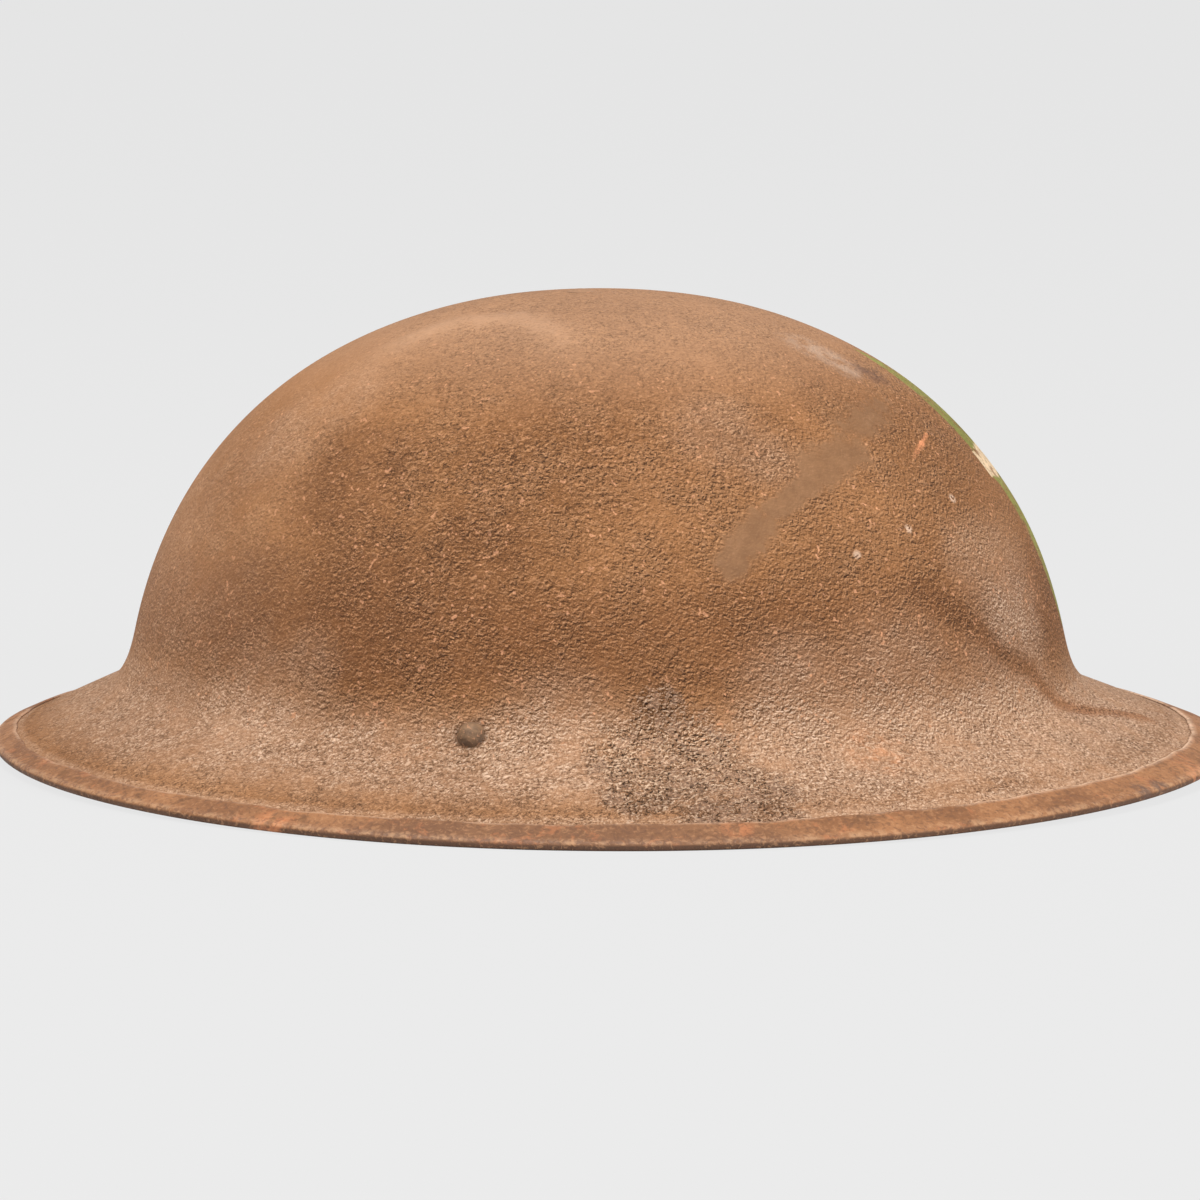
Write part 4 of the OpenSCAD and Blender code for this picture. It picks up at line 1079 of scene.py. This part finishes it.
def make_cradle(cloth, thread_finish):
    """Two crossing oilcloth bands from one side of the buffer band to the other, with sewn edges."""
    stitches = []
    quarter_turn = np.array([[0.0, -1, 0], [1, 0, 0], [0, 0, 1]])
    for name, node, k, play, turn, across in (
            ("cradle_long", "cradle_band_long", 0, CRADLE_PLAY, np.eye(3), (0, 1, 0)),
            ("cradle_cross", "cradle_band_cross", 1, CROSS_PLAY, quarter_turn, (1, 0, 0))):
        arm = arm_line(DOME_HALVES[k], BAND_HALVES[k], play)
        line = np.concatenate([arm[::-1] * (-1, 1), arm])
        flat = np.stack([line[:, 0], 0 * line[:, 0], line[:, 1]], -1)
        slope = unit(np.gradient(flat, axis=0))
        inward = np.stack([slope[:, 2], 0 * slope[:, 0], -slope[:, 0]], -1)
        path = flat + inward * OILCLOTH / 2
        sideways = np.tile((0.0, 1.0, 0.0), (len(path), 1))
        rings = strip(path, sideways, rounded_bar(CRADLE_WIDTH, OILCLOTH, 0.45, 2))
        rings, path, inward, slope = (v @ turn.T for v in (rings, path, inward, slope))
        band = piece(name, *rings_solid(rings - (SETBACK, 0, 0)), cloth, sharp=60)
        run = lengths(path)
        for edge in (-8.6, 8.6):
            for at in np.arange(4, run[-1] - 3, 4.0):
                p, out = (np.array([np.interp(at, run, column) for column in v.T])
                          for v in (path, unit(inward)))
                if np.hypot(p[0], p[1]) < 20:
                    continue
                i = min(len(path) - 1, int(np.searchsorted(run, at)))
                p = p - (SETBACK, 0, 0) + np.multiply(across, edge) + unit(out) * (OILCLOTH / 2 + 0.02)
                stitches.append(np.stack([p, slope[i], out]))
        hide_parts(node)
        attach(band, "helmet")
    sewn = sow("cradle_stitches", stitch_shape(2.8, 0.3, 0.28), stitches, thread_finish)
    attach(sewn, "helmet")


def make_pad(felt_finish):
    """Felt disc in the crown, dipping with the dome's curve."""
    def top(r):
        return PAD_TOP - PAD_CURVE + math.sqrt(PAD_CURVE ** 2 - r * r)
    flat = np.linspace(PAD_HOLE, PAD_R - PAD_EDGE, 12)
    rim_z = top(PAD_R - 1) - PAD_THICK / 2
    outline = [(r, top(r)) for r in flat]
    outline += [(PAD_R - PAD_EDGE + PAD_EDGE * math.cos(a), rim_z + 1.9 * math.sin(a))
                for a in np.radians((60, 20, -20, -60))]
    outline += [(r, top(r) - PAD_THICK) for r in flat[::-1]]
    rings = []
    for a in np.radians(np.arange(0, 360, 5)):
        ring = []
        for k, (r, z) in enumerate(outline):
            loose = (r / PAD_R) ** 2
            reach = r * (1 - 0.012 * loose * (1 + math.sin(7 * a)))
            sag = 0.25 * loose * math.sin(5 * a + 1) if k > 13 else 0
            ring.append((reach * math.cos(a) - PAD_SETBACK, reach * math.sin(a), z + sag))
        rings.append(ring)
    pad = piece("felt_pad", *rings_solid(rings, closed=True), felt_finish, sharp=70)
    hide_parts("crown_pad")
    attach(pad, "helmet")


def net_knot(row, column):
    """Place of a knot of the net: row 0 lies on the headband, the last one round the crown."""
    halves = HEAD_HALVES - HEADBAND / 2
    base = HEADBAND_Z[1] + SEAT
    climb_all = math.acos(NET_RING / halves[0])
    height = PAD_TOP - PAD_THICK - base - NET_DROP
    share = row / (NET_ROWS + 1)
    climb = climb_all * share
    angle = math.radians((column + (row % 2) / 2) * 360 / NET_COLUMNS)
    reach = halves * (math.cos(climb) - math.cos(climb_all) * share) + NET_RING * share
    return np.array([reach[0] * math.cos(angle) - SETBACK, reach[1] * math.sin(angle),
                     base + height * math.sin(climb)])


def make_net(cord_material, draw_material):
    """Diamond net of twisted cord, knotted at each crossing, gathered by a drawcord at the crown."""
    lines, spots = [], []
    heart = np.array((-SETBACK, 0, 30))
    for row in range(NET_ROWS + 2):
        for column in range(NET_COLUMNS):
            here = net_knot(row, column)
            out = unit(here - heart)
            if row <= NET_ROWS:
                first = column if row % 2 else column - 1
                for step in (first, first + 1):
                    there = net_knot(row + 1, step % NET_COLUMNS)
                    t = np.linspace(0, 1, 7)[:, None]
                    slack = 0.35 + 0.3 * math.sin(column * 2.1 + row * 1.3 + step)
                    lines.append(here + (there - here) * t
                                 + unit((here + there) / 2 - heart) * 4 * t * (1 - t) * slack)
            if 0 < row <= NET_ROWS:
                spots.append(np.stack([here, (0, 0, 1) - out * out[2], out]))
            if row == 0:
                angle = math.atan2(here[1] / HEAD_HALVES[1], (here[0] + SETBACK) / HEAD_HALVES[0])
                p, o = oval(HEAD_HALVES, math.degrees(angle), HEADBAND_Z[1])
                lines.append(np.array([here, *(p + o * reach + (0, 0, rise) for reach, rise in (
                    (-1.0, 0.9), (-2.2, 0.2), (-2.9, -1.6), (-2.9, -4.2), (-2.2, -5.3), (-1.2, -5.5)))]))
    net = cords("head_net_cords", lines, NET_CORD / 2 * 0.8, cord_material)
    knots = sow("net_knots", blob_shape("knot", (1.75, 1.5, 1.35)), spots, cord_material,
                size_spread=0.12, turn_spread=0.8)
    net = join("head_net", [net, knots])

    z = net_knot(NET_ROWS + 1, 0)[2]
    r = NET_RING - SEAT - DRAWCORD / 2
    ring = [np.array([r * math.cos(a) - SETBACK, r * math.sin(a), z])
            for a in np.radians(np.linspace(4, 356, 90))]
    tie = (ring[0] + ring[-1]) / 2
    tail_a, tail_b = ([tie + step for step in steps] for steps in (
        ((0, 0.6, -0.6), (-2, 2.2, -1.6), (-5, 4.2, -2.6), (-8, 5.2, -4.2), (-10.5, 5.4, -6.6)),
        ((0, -0.6, -0.6), (-2, -2.0, -1.7), (-4.5, -3.4, -3.2), (-6.5, -4.2, -5.6), (-7.6, -4.4, -8.4))))
    draw = cords("net_drawcord_ring", [ring, tail_a, tail_b], DRAWCORD / 2, draw_material)
    knot = sow("drawcord_knot", blob_shape("draw_knot", (2.1, 1.7, 1.5)), [(tie, (0, 1, 0), (1, 0, 0))],
               draw_material, size_spread=0.0)
    ends = sow("drawcord_ends", blob_shape("end_knot", (1.3, 1.2, 1.2)),
               [(tail[-1], (0, 1, 0), (0, 0, 1)) for tail in (tail_a, tail_b)],
               draw_material, size_spread=0.0)
    draw = join("net_drawcord_ring", [draw, knot, ends])
    for part, node in ((net, "net_cap"), (draw, "net_drawcord")):
        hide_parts(node)
        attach(part, "helmet")


# Chin strap


def right_bar():
    """The right bail's bar, its inward direction and the turn of the rim there."""
    s, angle = lug_place()
    point = steel(s, angle, SHEET)
    along = unit(steel(s, angle + 1.0, SHEET) - steel(s, angle - 1.0, SHEET))
    yaw = math.atan2(along[1], along[0])
    normal = section_normal(DOME_HALVES[1], SIDE_EDGE, np.array(s))
    tilt = math.atan2(normal[0], normal[1])
    depth = (LUG_WIDTH / 2) ** 2 / 2 / DOME_HALVES[1] + LUG_PLAY + LUG_SHEET + KNUCKLE_DEPTH
    reach = -KNUCKLE_DROP * math.cos(tilt) + depth * math.sin(tilt)
    fall = -KNUCKLE_DROP * math.sin(tilt) - depth * math.cos(tilt) - BAIL_DROP
    inward = np.array([-math.sin(yaw), math.cos(yaw), 0])
    return point + inward * reach + (0, 0, fall), inward, yaw


RUN_X = -SETBACK - HEAD_HALVES[0] - STRAP_STANDOFF


def strap_line(shift, run_end, tip):
    """Middle line of the right strap and its width directions, from the tab's end to its tip."""
    bar, inward, yaw = right_bar()
    beside = np.array([-math.cos(yaw), -math.sin(yaw), 0])
    up = np.array((0, 0, 1.0))
    centre = np.array([STRAP_BEND + RUN_X, -STRAP_RUN])

    def bend(angle):
        a = np.radians(angle)
        return np.stack([centre[0] - (STRAP_BEND + shift) * np.sin(a),
                         centre[1] - (STRAP_BEND + shift) * np.cos(a), STRAP_Z + 0 * a], -1)
    loop_r = (BAIL_WIRE + WIRE_PLAY) / 2 + STRAP / 2
    apart = (STRAP + 0.1) / 2
    fold = [*((q, -apart) for q in (13, 11.5, 10, 8.5, 7, 5.5)), (3.8, -1.2),
            *((loop_r * math.cos(a), loop_r * math.sin(a)) for a in np.radians(np.linspace(-65, -295, 16))),
            (3.8, 1.2), *((q, apart) for q in (5.5, 7, 8.5, 10))]
    tab = np.array([bar + inward * q + up * v for q, v in fold])
    start, stop = bar + inward * (STRAP_TAB - 2), bend(np.array(STRAP_LEAD))
    lead_turn = math.radians(STRAP_LEAD)
    heading = np.array([-math.cos(lead_turn), math.sin(lead_turn), 0])
    t = np.linspace(0, 1, 30)
    lead = bezier([start, start + inward * 13, stop - heading * 26, stop], t)
    rise = ease(1.4 * t)
    lead[:, 2] = bar[2] + (STRAP_Z - bar[2]) * rise + apart * (1 - ease(t * 3))
    twist = np.radians(90) * rise
    lead_across = np.cos(twist)[:, None] * beside + np.sin(twist)[:, None] * up
    curve = bend(np.linspace(STRAP_LEAD, 90, 28)[1:])
    run_y = np.linspace(-STRAP_RUN, run_end, 20)[1:]
    run = np.stack([0 * run_y + RUN_X - shift, run_y, 0 * run_y + STRAP_Z], -1)
    loose = bend(np.linspace(90, 90 - tip, 18)[1:]) * (1, -1, 1) if tip else run[:0]
    path = np.concatenate([tab, lead, curve, run, loose])
    across = np.concatenate([np.tile(beside, (len(tab), 1)), lead_across,
                             np.tile(up, (len(path) - len(tab) - len(lead), 1))])
    return path, across, bar, inward


def make_strap(name, node, side, shift, run_end, tip, leather_finish):
    """One half of the strap, right for side 1 and left for -1; its tab wraps that side's bail."""
    path, across, bar, inward = strap_line(shift, run_end, tip)
    run = lengths(path)
    ends = np.minimum(run + 1.2, run[-1] - run + 0.6)
    rounding = np.sqrt(np.clip(1 - (1 - np.clip(ends / 6.5, 0, 1)) ** 2, 0.02, 1))
    outline = rounded_bar(STRAP_WIDTH, STRAP, 0.7, 3)
    rings = strip(path, across, outline, np.where(run > run[-1] / 2, rounding, 1))
    flip = np.array((1, side, 1.0))
    strap = piece(name, *rings_solid(rings * flip), leather_finish, sharp=75)
    wide = np.tile(np.abs(outline[:, 0]) / (STRAP_WIDTH / 2), len(path))
    attribute(strap, "edge", ease((wide - 0.86) / 0.12))
    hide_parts(node)
    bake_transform(strap)


def make_keeper(leather_finish, thread_finish):
    """Leather loop round both straps, sewn on the side that faces backwards."""
    half = KEEPER_LENGTH / 2
    room = np.array((2 * STRAP + STRAP_GAP, STRAP_WIDTH)) + 2 * SEAT

    def ring(y, wider, size, radius):
        return [(RUN_X + p[0], KEEPER_Y + y, STRAP_Z + p[1])
                for p in rounded_bar(size[0] + 2 * wider, size[1] + 2 * wider, radius, 5)]
    rings = [ring(y, wider, room + 2 * KEEPER, KEEPER) for y, wider in (
        (-half, -0.35), (-half + 0.35, 0), (0, 0.06), (half - 0.35, 0), (half, -0.35))]
    rings += [ring(y, wider, room, SEAT + wider) for y, wider in (
        (half, 0.25), (half - 0.3, 0), (-half + 0.3, 0), (-half, 0.25))]
    loop = piece("keeper_loop", *rings_solid(rings, closed=True), leather_finish, sharp=60)
    attribute(loop, "edge", [ease((abs(v.co.y / MM - KEEPER_Y) - 2.2) / 0.7) for v in loop.data.vertices])
    back = RUN_X - room[0] / 2 - KEEPER - 0.02
    spots = [((back, KEEPER_Y + y, STRAP_Z + z), (0, 0, 1), (-1, 0, 0))
             for y in (-1.7, 1.7) for z in (-4.2, -1.4, 1.4, 4.2)]
    sewn = sow("keeper_stitches", stitch_shape(2.1, 0.3, 0.25), spots, thread_finish)
    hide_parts("strap_keeper")
    for part in (loop, sewn):
        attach(part, "keeper")


def dress_nodes():
    """Finishes for the steel and brass pieces that keep their solids."""
    lug = dull_steel("lug_steel", (84, 74, 62), (122, 110, 94), 0.8)
    wire = dull_steel("wire_steel", (96, 92, 84), (142, 137, 126), 0.35)
    washer = dull_steel("washer_steel", (104, 98, 88), (140, 132, 118), 0.5)
    for names, material in (
            (("crown_rivet", "lug_rivet_right", "lug_rivet_left"), rivet_paint()),
            (("bail_lug_right", "bail_lug_left"), lug), (("bail_right", "bail_left"), wire),
            (("crown_washer",), washer),
            (("strap_buckle", "strap_rivet_right", "strap_rivet_left"), tarnished_brass())):
        for name in names:
            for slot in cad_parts[name].material_slots:
                slot.material = material


make_shell()
make_rim()
sewing = thread()
cloth = oilcloth()
band_leather = leather("headband_leather", (104, 66, 40), (142, 94, 60), (158, 112, 74))
strap_leather = leather("strap_leather", (88, 56, 36), (122, 80, 52), (140, 98, 66))
make_headband(band_leather, sewing)
make_buffers(cloth, sewing, rubber())
make_cradle(cloth, sewing)
make_pad(felt())
make_net(cord_finish("net_cord", (148, 134, 102), (176, 162, 126), 4.0),
         cord_finish("drawcord", (128, 112, 80), (160, 142, 106), 3.2))
make_strap("strap_long", "chinstrap_long", 1, (STRAP + STRAP_GAP) / 2, STRAP_RUN, STRAP_TIP, strap_leather)
make_strap("strap_short", "chinstrap_short", -1, -(STRAP + STRAP_GAP) / 2, STRAP_RUN - 2, 0, strap_leather)
make_keeper(strap_leather, sewing)
dress_nodes()


# Stage


def aim(obj, target, roll=0.0):
    """Turn a lamp or the camera to look at a point."""
    look = (Vector(target) - obj.location).to_track_quat("-Z", "Y").to_matrix().to_4x4()
    obj.matrix_world = Matrix.Translation(obj.location) @ look @ Matrix.Rotation(math.radians(roll), 4, "Z")


def lamp(name, place, size, power):
    """Round lamp that looks at the helmet's middle."""
    light = bpy.data.lights.new(name, "AREA")
    light.shape = "DISK"
    light.size, light.energy = size, power
    obj = add_object(name, light)
    obj.location = place
    aim(obj, (0, 0, 0.05))


def set_stage():
    """Pale floor, soft lamps and the camera."""
    f = Finish("pale_floor")
    grey = colour(232, 232, 232)
    diffuse = f.node("ShaderNodeBsdfDiffuse", {"Color": grey})
    glow = f.node("ShaderNodeEmission", {"Color": grey, "Strength": 1.0})
    seen = f.node("ShaderNodeLightPath", output="Is Camera Ray")
    shader = f.node("ShaderNodeMixShader", {0: 0.95 * seen, 1: diffuse, 2: glow})
    f.node("ShaderNodeOutputMaterial", {"Surface": shader})
    floor = piece("floor", np.array([(-9, -9, 0), (9, -9, 0), (9, 9, 0), (-9, 9, 0)]) * 1000,
                  [(0, 1, 2, 3)], f.material)

    scene = bpy.context.scene
    scene.view_settings.view_transform = "Standard"
    scene.world = bpy.data.worlds.new("studio")
    scene.world.use_nodes = True
    w = Nodes(scene.world.node_tree)
    w.tree.nodes.clear()
    camera_ray, glossy, through = (w.node("ShaderNodeLightPath", output="Is %s Ray" % kind)
                                   for kind in ("Camera", "Glossy", "Transmission"))
    seen = w.math("MAXIMUM", w.math("MAXIMUM", camera_ray, glossy), through)
    plain = w.node("ShaderNodeBackground", {"Color": grey, "Strength": 1.0})
    soft = w.node("ShaderNodeBackground", {"Color": (1, 1, 1, 1), "Strength": 0.38})
    w.node("ShaderNodeOutputWorld", {"Surface": w.node("ShaderNodeMixShader", {0: seen, 1: soft, 2: plain})})

    lamp("key", (-0.75, -1.2, 1.0), 0.6, 10)
    lamp("fill", (1.45, -0.95, 0.65), 1.0, 21)
    lamp("top", (-0.25, -0.25, 1.6), 0.7, 19)

    turn, climb = math.radians(VIEW_TURN), math.radians(VIEW_RISE)
    lens = bpy.data.cameras.new("view")
    lens.sensor_width, lens.lens = 36.0, VIEW_LENS
    lens.clip_start, lens.clip_end = 0.05, 50
    camera = add_object("view", lens)
    camera.location = VIEW_TARGET + VIEW_DISTANCE * Vector((
        math.cos(climb) * math.sin(turn), -math.cos(climb) * math.cos(turn), math.sin(climb)))
    aim(camera, VIEW_TARGET, VIEW_ROLL)
    scene.camera = camera


set_stage()
